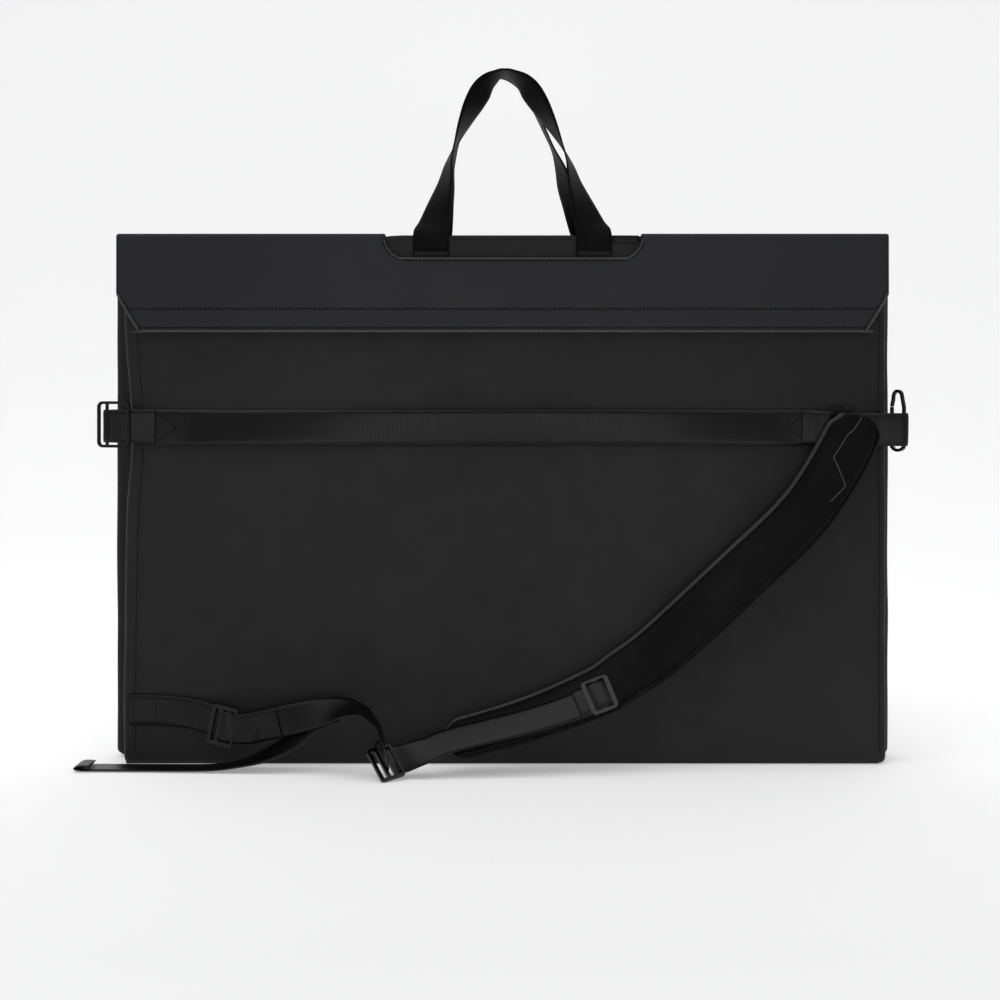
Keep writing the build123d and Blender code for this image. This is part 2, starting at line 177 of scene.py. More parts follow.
WAVE = 0.314  # scale of a band texture times its pitch in metres
WARP_PITCH = 0.0009


def webbing_material(name, low, high, rib=0.0013, rough=(0.28, 0.38), ior=1.29, relief=0.28):
    """Satin nylon webbing: ribs across, fine warp along."""
    material, tree, shader = start_material(name)
    uv = tree.nodes.new("ShaderNodeTexCoord").outputs["UV"]
    obj = tree.nodes.new("ShaderNodeTexCoord").outputs["Object"]
    wave = "ShaderNodeTexWave"
    ribs = textured(
        tree, uv, wave, WAVE / rib, bands_direction="X", Distortion=0.6, Detail=1.0
    ).outputs["Fac"]
    warp = textured(tree, uv, wave, WAVE / WARP_PITCH, bands_direction="Y", Distortion=0.5).outputs["Fac"]
    fuzz = textured(tree, obj, "ShaderNodeTexNoise", 900.0, Detail=3.0).outputs["Fac"]
    broad = textured(tree, obj, "ShaderNodeTexNoise", 30.0, Detail=2.0).outputs["Fac"]
    # colour: the ribs darken it between them, painted shade in the rib grooves; the broad noise adds random
    # tone
    shade = tree.nodes.new("ShaderNodeMath")
    shade.operation = "MULTIPLY"
    tree.links.new(ribs, shade.inputs[0])
    tree.links.new(ranged(tree, broad, 0.55, 1.0, 0.3, 0.7), shade.inputs[1])
    tint(tree, shader, shade.outputs[0], low, high)
    roughen(tree, shader, fuzz, rough)
    shader.inputs["IOR"].default_value = ior
    bump(tree, shader, [(ribs, relief, 0.00026), (warp, 0.2, 0.0001), (fuzz, 0.12, 0.0001)])
    return material


def metal_material(name, low, high, rough=(0.14, 0.3)):
    """Gloss black plated metal with fine handling marks."""
    material, tree, shader = start_material(name)
    coord = tree.nodes.new("ShaderNodeTexCoord").outputs["Object"]
    wear = textured(tree, coord, "ShaderNodeTexNoise", 220.0, Detail=4.0).outputs["Fac"]
    scratch = textured(tree, coord, "ShaderNodeTexNoise", 900.0, Detail=2.0, Distortion=1.5).outputs["Fac"]
    tint(tree, shader, ranged(tree, wear, 0, 1, 0.35, 0.75), low, high)
    roughen(tree, shader, wear, rough)
    shader.inputs["Specular IOR Level"].default_value = 0.2
    shader.inputs["Coat Weight"].default_value = 0.12
    shader.inputs["Coat Roughness"].default_value = 0.15
    bump(tree, shader, [(scratch, 0.08, 0.00008)])
    return material


def plain_material(name, low, high, rough, grain_scale, strength, specular=0.4):
    """Moulded, felted or spun surfaces that differ by grain and gloss."""
    material, tree, shader = start_material(name)
    coord = tree.nodes.new("ShaderNodeTexCoord").outputs["Object"]
    grain = textured(tree, coord, "ShaderNodeTexNoise", grain_scale, Detail=4.0).outputs["Fac"]
    broad = textured(tree, coord, "ShaderNodeTexNoise", 20.0, Detail=2.0).outputs["Fac"]
    tint(tree, shader, grain, low, high)
    roughen(tree, shader, broad, rough)
    shader.inputs["Specular IOR Level"].default_value = specular
    bump(tree, shader, [(grain, strength, 0.0002)])
    return material


BODY_CLOTH = coated_fabric("coated_fabric", (0.0105, 0.0107, 0.0113), (0.0140, 0.0142, 0.0150))
FLAP_CLOTH = coated_fabric(
    "flap_fabric", (0.0142, 0.0146, 0.0158), (0.0180, 0.0185, 0.0200), rough=(0.46, 0.58), grain=0.25
)
# the pad fabric is a darker copy of the coated fabric: painted shade for the pad's face, which turns down
# away from the light
PAD_SHADE_CLOTH = coated_fabric(
    "pad_fabric", (0.0020, 0.0021, 0.0023), (0.0046, 0.0047, 0.0051), rough=(0.42, 0.56), grain=0.3,
    specular=0.06
)
LINING = coated_fabric(
    "lining_fabric", (0.020, 0.020, 0.022), (0.030, 0.030, 0.034), rough=(0.55, 0.7), grain=0.2
)
WEBBING = webbing_material("webbing", (0.0005, 0.0005, 0.0006), (0.0030, 0.0030, 0.0032))
HANDLE_WEBBING = webbing_material(
    "handle_webbing", (0.0008, 0.0008, 0.0009), (0.0052, 0.0052, 0.0054), rough=(0.46, 0.56),
    ior=1.13, relief=0.6
)
# a lighter, glossier copy of the cloth for rolled edges: a painted highlight where light catches the hem,
# slot and patch edges
EDGE_HIGHLIGHT = plain_material(
    "edge_painted_highlight", (0.019, 0.019, 0.020), (0.032, 0.032, 0.034), (0.3, 0.42), 900.0, 0.15, 0.4
)
# a lighter copy of the pad's cloth for its upper piping: a painted highlight where light falls on the pad's
# upper edge
PIPING_HIGHLIGHT_CLOTH = coated_fabric(
    "piping_highlight_fabric", (0.0100, 0.0102, 0.0108), (0.0170, 0.0173, 0.0182), rough=(0.36, 0.48), grain=0.25,
    specular=0.3
)
THREAD = plain_material(
    "thread", (0.0008, 0.0008, 0.0008), (0.0022, 0.0022, 0.0022), (0.5, 0.6), 2500.0, 0.5, 0.1
)
# a lighter copy of the black thread for the bartacks: painted sheen on the dense stitching
BARTACK_SHEEN_THREAD = plain_material(
    "bartack_painted_sheen", (0.012, 0.012, 0.012), (0.034, 0.034, 0.034), (0.5, 0.6), 2500.0, 0.5, 0.2
)
METAL = metal_material("black_metal", (0.0010, 0.0010, 0.0011), (0.0035, 0.0035, 0.0035))
PLASTIC = plain_material(
    "buckle_plastic", (0.010, 0.010, 0.010), (0.016, 0.016, 0.016), (0.35, 0.5), 1500.0, 0.25
)
BOARD = plain_material("board", (0.05, 0.05, 0.05), (0.08, 0.08, 0.08), (0.45, 0.6), 800.0, 0.3)
PILE = plain_material(
    "hook_and_loop", (0.006, 0.006, 0.006), (0.03, 0.03, 0.03), (0.8, 0.95), 1800.0, 1.0, 0.2
)
ZIP_TAPE = webbing_material(
    "zip_tape", (0.006, 0.006, 0.0063), (0.016, 0.016, 0.0165), rib=0.0007, rough=(0.5, 0.65)
)

floor_mat, floor_tree, floor_shader = start_material("studio_floor")
floor_coord = floor_tree.nodes.new("ShaderNodeTexCoord").outputs["Object"]
floor_noise = textured(floor_tree, floor_coord, "ShaderNodeTexNoise", 1.2, Detail=2.0).outputs["Fac"]
tint(floor_tree, floor_shader, floor_noise, (0.80, 0.80, 0.805), (0.84, 0.84, 0.845))
floor_split = floor_tree.nodes.new("ShaderNodeSeparateXYZ")
floor_tree.links.new(floor_coord, floor_split.inputs[0])
glow = ranged(floor_tree, floor_split.outputs["Y"], 0.0, 1.0, -0.5, 0.1)
tint(floor_tree, floor_shader, glow, (0.36, 0.36, 0.36), (0.80, 0.80, 0.80), "Emission Color")
floor_shader.inputs["Emission Strength"].default_value = 0.4
floor_shader.inputs["Roughness"].default_value = 0.75
floor_shader.inputs["Specular IOR Level"].default_value = 0.2

# one curved sweep of floor and backdrop
sweep_profile = [(-6.0, 0.0), (1.6, 0.0)]
for step in range(1, 13):
    turn = math.radians(90 * step / 12)
    sweep_profile.append((1.6 + 1.2 * math.sin(turn), 1.2 - 1.2 * math.cos(turn)))
sweep_profile.append((2.8, 6.0))
sweep_verts = [(x, y, z) for y, z in sweep_profile for x in (-7.0, 7.0)]
sweep_faces = [(2 * i, 2 * i + 1, 2 * i + 3, 2 * i + 2) for i in range(len(sweep_profile) - 1)]
sweep_mesh = bpy.data.meshes.new("studio_sweep")
sweep_mesh.from_pydata(sweep_verts, [], sweep_faces)
sweep_mesh.materials.append(floor_mat)
for polygon in sweep_mesh.polygons:
    polygon.use_smooth = True
sweep = bpy.data.objects.new("studio_sweep", sweep_mesh)
bpy.context.scene.collection.objects.link(sweep)


# ---------------------------------------------------------------- mesh tools (lengths in millimetres)
def add_mesh(name, verts, faces, material, uvs=None, smooth=True):
    """A mesh object from millimetre vertices, with optional per-vertex coordinates for its weave."""
    mesh = bpy.data.meshes.new(name)
    mesh.from_pydata(
        [tuple(float(c) * MM for c in v) for v in verts], [],
        [tuple(int(i) for i in f) for f in faces]
    )
    if uvs is not None:
        layer = mesh.uv_layers.new(name="weave")
        loops = np.empty(len(mesh.loops), dtype=np.int32)
        mesh.loops.foreach_get("vertex_index", loops)
        layer.data.foreach_set("uv", (np.asarray(uvs, float)[loops] * MM).astype(np.float32).ravel())
    mesh.materials.append(material)
    work = bmesh.new()
    work.from_mesh(mesh)
    bmesh.ops.recalc_face_normals(work, faces=work.faces)
    work.to_mesh(mesh)
    work.free()
    for face in mesh.polygons:
        face.use_smooth = smooth
    obj = bpy.data.objects.new(name, mesh)
    bpy.context.scene.collection.objects.link(obj)
    return obj


def tube_faces(rings, n, capped=True):
    """Faces of a tube made of rings with n points each."""
    faces = [
        (i * n + j, i * n + (j + 1) % n, (i + 1) * n + (j + 1) % n, (i + 1) * n + j)
        for i in range(rings - 1)
        for j in range(n)
    ]
    if capped:
        faces += [tuple(range(n)), tuple((rings - 1) * n + j for j in reversed(range(n)))]
    return faces


def grid_faces(rows, cols, base=0):
    """Faces of a sheet of rows with cols points each, from a first point."""
    corners = [base + i * cols + j for i in range(rows - 1) for j in range(cols - 1)]
    return [(a, a + 1, a + cols + 1, a + cols) for a in corners]


def smooth_route(points, step=2.0):
    """Catmull-Rom samples through control rows, near-evenly spaced by their first three columns."""
    rows = np.asarray(points, float)
    padded = np.vstack([2 * rows[0] - rows[1], rows, 2 * rows[-1] - rows[-2]])
    made = []
    for i in range(1, len(padded) - 2):
        p0, p1, p2, p3 = padded[i - 1 : i + 3]
        count = max(2, int(np.linalg.norm((p2 - p1)[:3]) / step))
        t = np.linspace(0, 1, count, endpoint=False)[:, None]
        made.append(
            0.5 * (
                2 * p1 + (p2 - p0) * t + (2 * p0 - 5 * p1 + 4 * p2 - p3) * t**2
                + (3 * p1 - p0 - 3 * p2 + p3) * t**3
            )
        )
    made.append(rows[-1:])
    return np.vstack(made)


def frames_along(route, across):
    """Unit tangent, width and face directions along a route."""
    tangent = np.gradient(route, axis=0)
    tangent /= np.linalg.norm(tangent, axis=1)[:, None]
    side = across - tangent * np.sum(across * tangent, axis=1)[:, None]
    side /= np.linalg.norm(side, axis=1)[:, None]
    return tangent, side, np.cross(tangent, side)


def web(name, points, across, width, thick=1.6, material=None, step=1.6, crown=0.0, wave=0.0):
    """Woven strap: rounded edges, a slight crown and a ripple, following a smooth route."""
    control = np.hstack([np.asarray(points, float), np.asarray(across, float)])
    if np.ndim(width):
        control = np.hstack([control, np.asarray(width, float)[:, None]])
    rows = smooth_route(control, step)
    route, directions = rows[:, :3], rows[:, 3:6]
    widths = rows[:, 6] if rows.shape[1] > 6 else np.full(len(rows), float(width))
    tangent, side, face = frames_along(route, directions)
    length = np.concatenate([[0], np.cumsum(np.linalg.norm(np.diff(route, axis=0), axis=1))])
    t = thick / 2
    cols = np.linspace(-1, 1, 9)
    upper = [(c, 1.0) for c in cols]
    lower = [(c, -1.0) for c in cols[::-1]]
    ring = upper + [(1.0, 0.0)] + lower + [(-1.0, 0.0)]
    verts, uvs = [], []
    for i in range(len(rows)):
        half = widths[i] / 2
        for c, f in ring:
            edge = abs(c) > 0.99
            reach = (half if f == 0 else half - 0.35 * t) if edge else half * abs(c)
            lift = f * t * (0.6 if edge else 1.0) + crown * (1 - c * c)
            lift += wave * math.sin(length[i] / 17.0 + 2.1) * math.cos(length[i] / 41.0) * (1 - 0.4 * c)
            verts.append(route[i] + side[i] * math.copysign(reach, c) + face[i] * lift)
            uvs.append((length[i], c * half + (30 if f < 0 else 0)))
    return add_mesh(name, verts, tube_faces(len(rows), len(ring)), material or WEBBING, uvs)


# a stitch's section, and its stations: share of its length, of its thickness, and how far it sinks
THREAD_RING = [(math.cos(a), math.sin(a)) for a in np.linspace(0, 2 * math.pi, 6, endpoint=False)]
THREAD_SHAPE = (
    (-0.5, 0.25, -0.35), (-0.3, 0.85, 0.0), (0.0, 1.0, 0.12), (0.3, 0.85, 0.0), (0.5, 0.25, -0.35)
)


def add_stitch(verts, faces, centre, run_dir, out, length, thick):
    """One stitch that rises out of the cloth and goes back into it."""
    run_dir /= np.linalg.norm(run_dir)
    cross = np.cross(run_dir, out)
    cross /= np.linalg.norm(cross)
    base = len(verts)
    for along, size, sink in THREAD_SHAPE:
        for c, s in THREAD_RING:
            rise = out * (s * size * thick / 2 + sink * thick)
            verts.append(centre + run_dir * along * length + cross * c * size * thick / 2 + rise)
    faces += [tuple(base + v for v in face) for face in tube_faces(len(THREAD_SHAPE), len(THREAD_RING))]


def stitches(name, runs, normal, pitch=3.5, length=2.5, thick=0.8, material=None):
    """Rows of thread laid on a surface: each run is a list of millimetre points."""
    out = np.asarray(normal, float)
    out /= np.linalg.norm(out)
    verts, faces = [], []
    for run in runs:
        pts = np.asarray(run, float)
        gaps = np.linalg.norm(np.diff(pts, axis=0), axis=1)
        marks = np.concatenate([[0], np.cumsum(gaps)])
        count = max(1, int(marks[-1] / pitch))
        for k in range(count):
            middle = (k + 0.5) * marks[-1] / count
            centre = np.array([np.interp(middle, marks, pts[:, a]) for a in range(3)])
            ahead = np.array([np.interp(min(middle + 0.2, marks[-1]), marks, pts[:, a]) for a in range(3)])
            behind = np.array([np.interp(max(middle - 0.2, 0), marks, pts[:, a]) for a in range(3)])
            add_stitch(verts, faces, centre, ahead - behind, out, length, thick)
    return add_mesh(name, verts, faces, material or THREAD)


def thickened(name, verts, faces, thickness, material, offset=0.0):
    """A sheet given thickness: offset 0 grows it from its middle, -1 grows it inwards from its outer face."""
    work = bmesh.new()
    made = [work.verts.new(tuple(float(c) * MM for c in v)) for v in verts]
    for f in faces:
        work.faces.new([made[int(i)] for i in f])
    bmesh.ops.remove_doubles(work, verts=work.verts, dist=1e-6)
    bmesh.ops.recalc_face_normals(work, faces=work.faces)
    middle = sum((v.co for v in work.verts), Vector()) / len(work.verts)
    if sum(f.normal.dot(f.calc_center_median() - middle) * f.calc_area() for f in work.faces) < 0:
        bmesh.ops.reverse_faces(work, faces=work.faces)
    mesh = bpy.data.meshes.new(name)
    work.to_mesh(mesh)
    work.free()
    mesh.materials.append(material)
    obj = bpy.data.objects.new(name, mesh)
    bpy.context.scene.collection.objects.link(obj)
    thick = obj.modifiers.new("thickness", "SOLIDIFY")
    thick.thickness = thickness * MM
    thick.offset = offset
    bpy.context.view_layer.update()
    solid = bpy.data.meshes.new_from_object(obj.evaluated_get(bpy.context.evaluated_depsgraph_get()))
    obj.modifiers.remove(thick)
    obj.data = solid
    for face in solid.polygons:
        face.use_smooth = True
    return obj


def settle(obj, body, slot, *nodes):
    """Puts a piece on its body, in place of its CAD nodes; the slot is not used."""
    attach(obj, body)
    if nodes:
        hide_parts(*nodes)
    return obj


def wobble(x, y, z, scale, seed):
    """Smooth repeatable noise from -1 to 1 at a millimetre scale."""
    return noise.noise(Vector((x / scale + seed * 7.3, y / scale + seed * 3.1, z / scale - seed * 5.7)))


# ---------------------------------------------------------------- the two soft halves
def sleeve_ring(half, outer, inner, radius):
    """Points (x, y) round a flat sleeve's section."""
    depth = inner - outer
    sign = 1 if depth > 0 else -1
    r = min(radius, abs(depth) / 2 - 0.2)
    turns = [math.radians(a) for a in np.linspace(0, 90, 7)[1:]]
    arc = [(r * math.sin(a), r * math.cos(a)) for a in turns]
    side = [c * (depth - 2 * sign * r) for c in np.linspace(0, 1, 6)[1:]]
    pts = [(c * (half - r), outer) for c in np.linspace(-1, 1, 72)]
    pts += [(half - r + s, outer + sign * (r - c)) for s, c in arc]
    pts += [(half, outer + sign * r + y) for y in side]
    pts += [(half - r + c, inner - sign * (r - s)) for s, c in arc]
    pts += [(c * (half - r), inner) for c in np.linspace(1, -1, 40)[1:]]
    pts += [(-half + r - s, inner - sign * (r - c)) for s, c in arc]
    pts += [(-half, inner - sign * r - y) for y in side]
    pts += [(-half + r - c, outer + sign * (r - s)) for s, c in arc[:-1]]
    return pts


def left_pull(z):
    """How far the front half's left edge is drawn in, most of all by the cross strap."""
    return 2.6 + 6.8 * math.exp(-(((z - 280) / 62) ** 2)) + 1.2 * math.exp(-(((z - 170) / 60) ** 2))


def right_pull(z):
    """How far the front half's right edge is drawn in."""
    return 0.9 * math.exp(-(((z - 282) / 50) ** 2)) - 1.0


def side_bulge(z):
    """How far the back half's slack sides stand out."""
    return 9.6 * min(1.0, z / 5, max(0.0, (440 - z) / 12)) ** 0.5


def soft_face(x, z, seed):
    """How far a held-flat panel dips below its frame: slack, ripples and strap pull."""
    slack = 0.55 + 0.5 * wobble(x, 0, z, 150, seed) + 0.28 * wobble(x, 3, z * 1.6, 46, seed + 1)
    pull = 0.5 * math.exp(-(((z - 281) / 16) ** 2)) * (1 + 0.5 * wobble(x, 0, z, 20, seed))
    hem = 0.35 * math.sin(x / 31.0 + 1.3 * math.sin(x / 90.0)) * math.exp(-((z - 360) / 60) ** 2)
    return max(0.0, slack + pull + hem)


def soft_half(
    name, sign, material, thick=1.5, seed=3.0, foot=1.5, top=440.0, half=319.6, outer=27.9, inner=1.7
):
    """One half's sleeve of cloth, held flat by its board: sign is -1 for the front and 1 for the back."""
    ring = sleeve_ring(half, sign * outer, sign * inner, 5.5)
    rows = [foot, foot + 0.6, foot + 1.6, foot + 3, foot + 5.5]
    rows += [*np.linspace(foot + 10, top - 8, 74), top - 4, top - 1.5, top]
    verts = []
    for z in rows:
        tuck = 1.8 * math.exp(-(z - foot) / 1.6)
        for x, y in ring:
            edge = max(0.0, abs(x) - (half - 16)) / 16
            on_outer = abs(y - sign * outer) < 9
            if on_outer:
                y_new = y - sign * (soft_face(x, z, seed) * (1 - edge**3) + 1.1 * edge**2 + tuck)
            else:
                y_new = y + sign * abs(0.6 * wobble(x, y, z, 60, seed)) * 0.6
            x_new = x
            share = min(1.0, abs(x) / half) ** 6
            if sign < 0:
                x_new = x + (left_pull(z) if x < 0 else -right_pull(z)) * share
            else:
                x_new = x + math.copysign(side_bulge(z) * min(1.0, max(0.0, (27 - y) / 14)), x) * share
            x_new += 0.7 * edge * wobble(x, y, z, 55, seed + 2) - math.copysign(tuck * edge, x)
            # the mouth stands a little higher inside the handle slot
            in_slot = min(1.0, max(0.0, (x + 97) / 6)) * min(1.0, max(0.0, (115 - x) / 6))
            lift = (1.5 * in_slot if thick > 1 else 0.0) * max(0.0, (z - 425) / 15) ** 2
            verts.append((x_new, y_new, z + lift))
    return thickened(
        name, verts, tube_faces(len(rows), len(ring), capped=False), thick, material, offset=-1.0
    )


front_skin = soft_half("front_panel_skin", -1, BODY_CLOTH)
settle(front_skin, "front_half", "coated_fabric", "front_shell")
back_skin = soft_half("back_panel_skin", 1, BODY_CLOTH, seed=9.0)
settle(back_skin, "back_half", "coated_fabric", "back_shell")

for side, sign, body, seed in (("back", 1, "back_half", 15.0), ("front", -1, "front_half", 21.0)):
    liner = soft_half(
        f"{side}_liner", sign, LINING, thick=0.6, seed=seed, foot=6, top=432, half=317.4, outer=24.6,
        inner=3.6
    )
    settle(liner, body, "lining_fabric", f"{side}_lining")

# spine: one strip of the coated fabric that goes round the foot
spine_verts = []
SPINE_COLUMNS = 90
SPINE_HALF = [(-24.0, 4.4), (-24.6, 2.6), (-24.4, 1.2), (-23.0, 0.75), (-18, 0.7), (-9, 0.72)]
SPINE_SECTION = [*SPINE_HALF, (0, 0.75), *[(-y, z) for y, z in SPINE_HALF[::-1]]]
for y, z in SPINE_SECTION:
    for x in np.linspace(-314.5, 314.5, SPINE_COLUMNS):
        gather = 0.25 * abs(wobble(x, y, 0, 50, 4)) if abs(y) < 20 else 0
        spine_verts.append((x, y * (1 - 0.004 * abs(x) / 319), z + gather))
spine_faces = grid_faces(len(SPINE_SECTION), SPINE_COLUMNS)
spine = thickened("spine_strip", spine_verts, spine_faces, 1.0, BODY_CLOTH)
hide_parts("fold_spine")
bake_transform(spine)

# ---------------------------------------------------------------- flap
SLOT_L, SLOT_R, SLOT_Z, SLOT_ROUND = -98.0, 116.0, 422.0, 18.0
FLAP_HALF = 321.0
FLAP_BEND = 2.8
FLAP_BACK, FLAP_FRONT, FLAP_LEVEL = 29.2, -31.4, 442.0


def flap_half_width(y, z):
    """Half the flap's width: its lower corners are cut off, and its top corners are eased."""
    if y > 0 and z < 398:
        return 306 + (FLAP_HALF - 306) * (z - 388) / 10
    if y < 0 and z < 392:
        return 302 + (FLAP_HALF - 302) * (z - 361) / 31
    corner = 1.5 * max(0.0, (z - 440.5) / 1.5) ** 2
    return FLAP_HALF - corner


def slot_edges(z):
    """Left and right limits of the handle slot at a height."""
    if z >= SLOT_Z + SLOT_ROUND:
        return SLOT_L, SLOT_R
    drop = SLOT_Z + SLOT_ROUND - max(z, SLOT_Z)
    inset = SLOT_ROUND - math.sqrt(max(0.0, SLOT_ROUND**2 - drop**2))
    return SLOT_L + inset, SLOT_R - inset


def flap_rows(part):
    """The flap's section as (y, z) rows, from its back hem over the top, or from the top to its front hem."""
    corner_rows = [SLOT_Z + SLOT_ROUND * (1 - math.cos(math.radians(a))) for a in (0, 18, 34, 48, 60, 72)]
    climb = corner_rows + [FLAP_LEVEL - FLAP_BEND]
    bend = [math.radians(a) for a in (18, 36, 54, 72, 90)]
    if part == "back":
        rows = [(FLAP_BACK, z) for z in [388.6, 393, 398, 404, 410, 416] + climb]
        rows += [
            (
                FLAP_BACK - FLAP_BEND + FLAP_BEND * math.cos(a),
                FLAP_LEVEL - FLAP_BEND + FLAP_BEND * math.sin(a)
            )
            for a in bend
        ]
        rows += [(y, FLAP_LEVEL) for y in (20, 14, 8, 3, -1)]
        return rows
    rows = [(y, FLAP_LEVEL) for y in (-1, -7, -13, -19, -24)]
    rows += [
        (
            FLAP_FRONT + FLAP_BEND - FLAP_BEND * math.sin(a - bend[0]),
            FLAP_LEVEL - FLAP_BEND + FLAP_BEND * math.cos(a - bend[0])
        )
        for a in bend
    ]
    rows += [(FLAP_FRONT, z) for z in [FLAP_LEVEL - FLAP_BEND] + corner_rows[::-1]]
    rows += [
        (FLAP_FRONT, z)
        for z in (
            417, 411, 405, 398, 392, 387, 383, 380.6, 380, 379.4, 376, 372, 368, 364.8, 364.2, 363.6,
            361.8
        )
    ]
    return rows


def flap_sheet(name, part, material):
    """Three strips of the flap that leave the handle slot open."""
    verts, faces = [], []
    rows = flap_rows(part)

    def place(x, y, z):
        ripple = 0.35 * wobble(x, 0, z, 90, 31) + 0.15 * wobble(x, 0, z, 30, 32)
        if y == FLAP_FRONT:
            low = max(0.0, (430 - z) / 68)
            groove = 0.28 * (math.exp(-(((z - 380) / 0.7) ** 2)) + math.exp(-(((z - 364.2) / 0.7) ** 2)))
            ridge = 0.32 if z < 379 else 0.0
            return (x, y - low * (0.5 + ripple) - ridge + groove, z)
        if y == FLAP_BACK:
            return (x, y + 0.1 + 0.1 * ripple, z)
        sag = 0.9 * math.sin(math.pi * min(1, max(0, (29 - y) / 60))) * (1 + 0.6 * ripple)
        return (x, y, z - (sag if z > 441.9 else 0) + (0.1 * ripple if z > 441.9 else 0))

    def strip(limits, wanted, columns):
        kept = [(i, r) for i, r in enumerate(rows) if wanted(r)]
        base = len(verts)
        for _, (y, z) in kept:
            low, high = limits(y, z)
            for x in np.linspace(low, high, columns):
                verts.append(place(x, y, z))
        for (i, _), (k, _), row in zip(kept, kept[1:], range(len(kept))):
            if k == i + 1:
                faces.extend(grid_faces(2, columns, base + row * columns))

    strip(lambda y, z: (-flap_half_width(y, z), slot_edges(z)[0]), lambda r: True, 40)
    strip(lambda y, z: (slot_edges(z)[0], slot_edges(z)[1]), lambda r: r[1] <= SLOT_Z + 0.01, 36)
    strip(lambda y, z: (slot_edges(z)[1], flap_half_width(y, z)), lambda r: True, 40)
    return thickened(name, verts, faces, 1.5, material)


flap_back = flap_sheet("flap_back_sheet", "back", FLAP_CLOTH)
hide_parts("flap_anchor_band", "flap_top_left", "flap_top_right")
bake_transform(flap_back)
flap_face = flap_sheet("flap_front_sheet", "front", FLAP_CLOTH)
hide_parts("flap_front", "flap_hem_facing")
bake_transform(flap_face)

HEM_Y = -33.0
flap_thread = stitches(
    "flap_hem_thread",
    [
        [(-309, HEM_Y - 0.15, 380), (309, HEM_Y - 0.15, 380)],
        [(-302.5, HEM_Y - 0.1, 364.4), (302.5, HEM_Y - 0.1, 364.4)],
        [(-303.5, HEM_Y - 0.1, 365.5), (-317.5, -32.6, 389.5)],
        [(303.5, HEM_Y - 0.1, 365.5), (317.5, -32.6, 389.5)],
        [(SLOT_L + 14, -32.4, 419.9), (SLOT_R - 14, -32.4, 419.9)],
        [(SLOT_L + 12, -32.3, 420.3), (SLOT_L + 3.0, -32.25, 425.8), (SLOT_L - 1.8, -32.2, 435.5)],
        [(SLOT_R - 12, -32.3, 420.3), (SLOT_R - 3.0, -32.25, 425.8), (SLOT_R + 1.8, -32.2, 435.5)],
    ],
    (0, -1, 0),
)
settle(flap_thread, "flap_front", "webbing")


def bead(name, pts, radius, material, sides=8, step=2.0):
    """A rolled edge or piping along a route."""
    route = smooth_route(pts, step)
    tangent = np.gradient(route, axis=0)
    tangent /= np.linalg.norm(tangent, axis=1)[:, None]
    up = np.array([0.12, 1.0, 0.31])
    side = np.cross(tangent, up)
    side /= np.linalg.norm(side, axis=1)[:, None]
    other = np.cross(tangent, side)
    verts = []
    for i in range(len(route)):
        for k in range(sides):
            a = 2 * math.pi * k / sides
            verts.append(route[i] + radius * (math.cos(a) * side[i] + math.sin(a) * other[i]))
    return add_mesh(name, verts, tube_faces(len(route), sides), material)


HEM_ROLL = [(-319.5, -32.1, 392.5), (-318.5, -32.2, 389), (-304, -32.9, 365), (-301.0, -33.0, 361.6)]
HEM_ROLL += [(-296, -33.0, 361.3), (-150, -33.0, 361.2)]
hem_route = [*HEM_ROLL, (0, -33.0, 361.3), *[(-x, y, z) for x, y, z in HEM_ROLL[::-1]]]
# the hem's rolled edge carries the painted highlight
hem_edge = bead("flap_hem_roll", hem_route, 1.15, EDGE_HIGHLIGHT)
settle(hem_edge, "flap_front", "flap_fabric")
# from the slot's end inwards: distance from the end, y and z
SLOT_ROLL = [
    (-0.3, -31.7, 437), (0.6, -31.8, 433), (5.2, -31.9, 426.4), (11, -32.0, 422.9), (19, -32.0, 421.8)
]
slot_route = [(SLOT_L + x, y, z) for x, y, z in SLOT_ROLL]
slot_route += [(10, -32.0, 421.7), *[(SLOT_R - x, y, z) for x, y, z in SLOT_ROLL[::-1]]]
# the slot's rolled edge carries the painted highlight
slot_edge = bead("flap_slot_roll", slot_route, 0.8, EDGE_HIGHLIGHT)
settle(slot_edge, "flap_front", "flap_fabric")
for side in ("left", "right"):
    for tape in (f"flap_hook_tape_{side}", f"panel_loop_tape_{side}"):
        NODES[tape].data.materials.clear()
        NODES[tape].data.materials.append(PILE)

# binding on the inner edge, seen in the slot's right end
binding = web(
    "slot_binding", [(92, -28.9, 438.4), (103, -28.9, 438.5), (113.5, -28.9, 438.4)], [(0, 0, 1)] * 3,
    5.6, 0.9
)
settle(binding, "front_half", "webbing")

# ---------------------------------------------------------------- panel seams
left_seam = [(-308.5 + left_pull(z), -28.35, z) for z in range(12, 425, 6)]
right_seam = [(313.0 - right_pull(z), -28.3, z) for z in range(12, 425, 6)]
top_seam = [[(-90, -28.35, 438.2), (-78, -28.35, 438.2)], [(-42, -28.35, 438.2), (58, -28.35, 438.2)]]
panel_thread = stitches("front_panel_thread", [left_seam, right_seam, *top_seam], (0, -1, 0), thick=0.7)
settle(panel_thread, "front_half", "webbing")
back_thread = stitches(
    "back_panel_thread",
    [
        [(-312, 28.4, z) for z in range(12, 385, 6)], [(312, 28.4, z) for z in range(12, 385, 6)],
        [(-302, 30.25, 392.5), (302, 30.25, 392.5)], [(-308, 30.25, 403), (308, 30.25, 403)]
    ],
    (0, 1, 0),
    thick=0.45,
)
settle(back_thread, "back_half", "webbing")

# ---------------------------------------------------------------- handles
HANDLE_MIDDLE, HANDLE_TOP = 8.3, 580.0
HANDLE_SPREAD = 67.9  # from the handle's middle to each foot
HANDLE_SHIFT = 6.2  # how far the top leans to the left
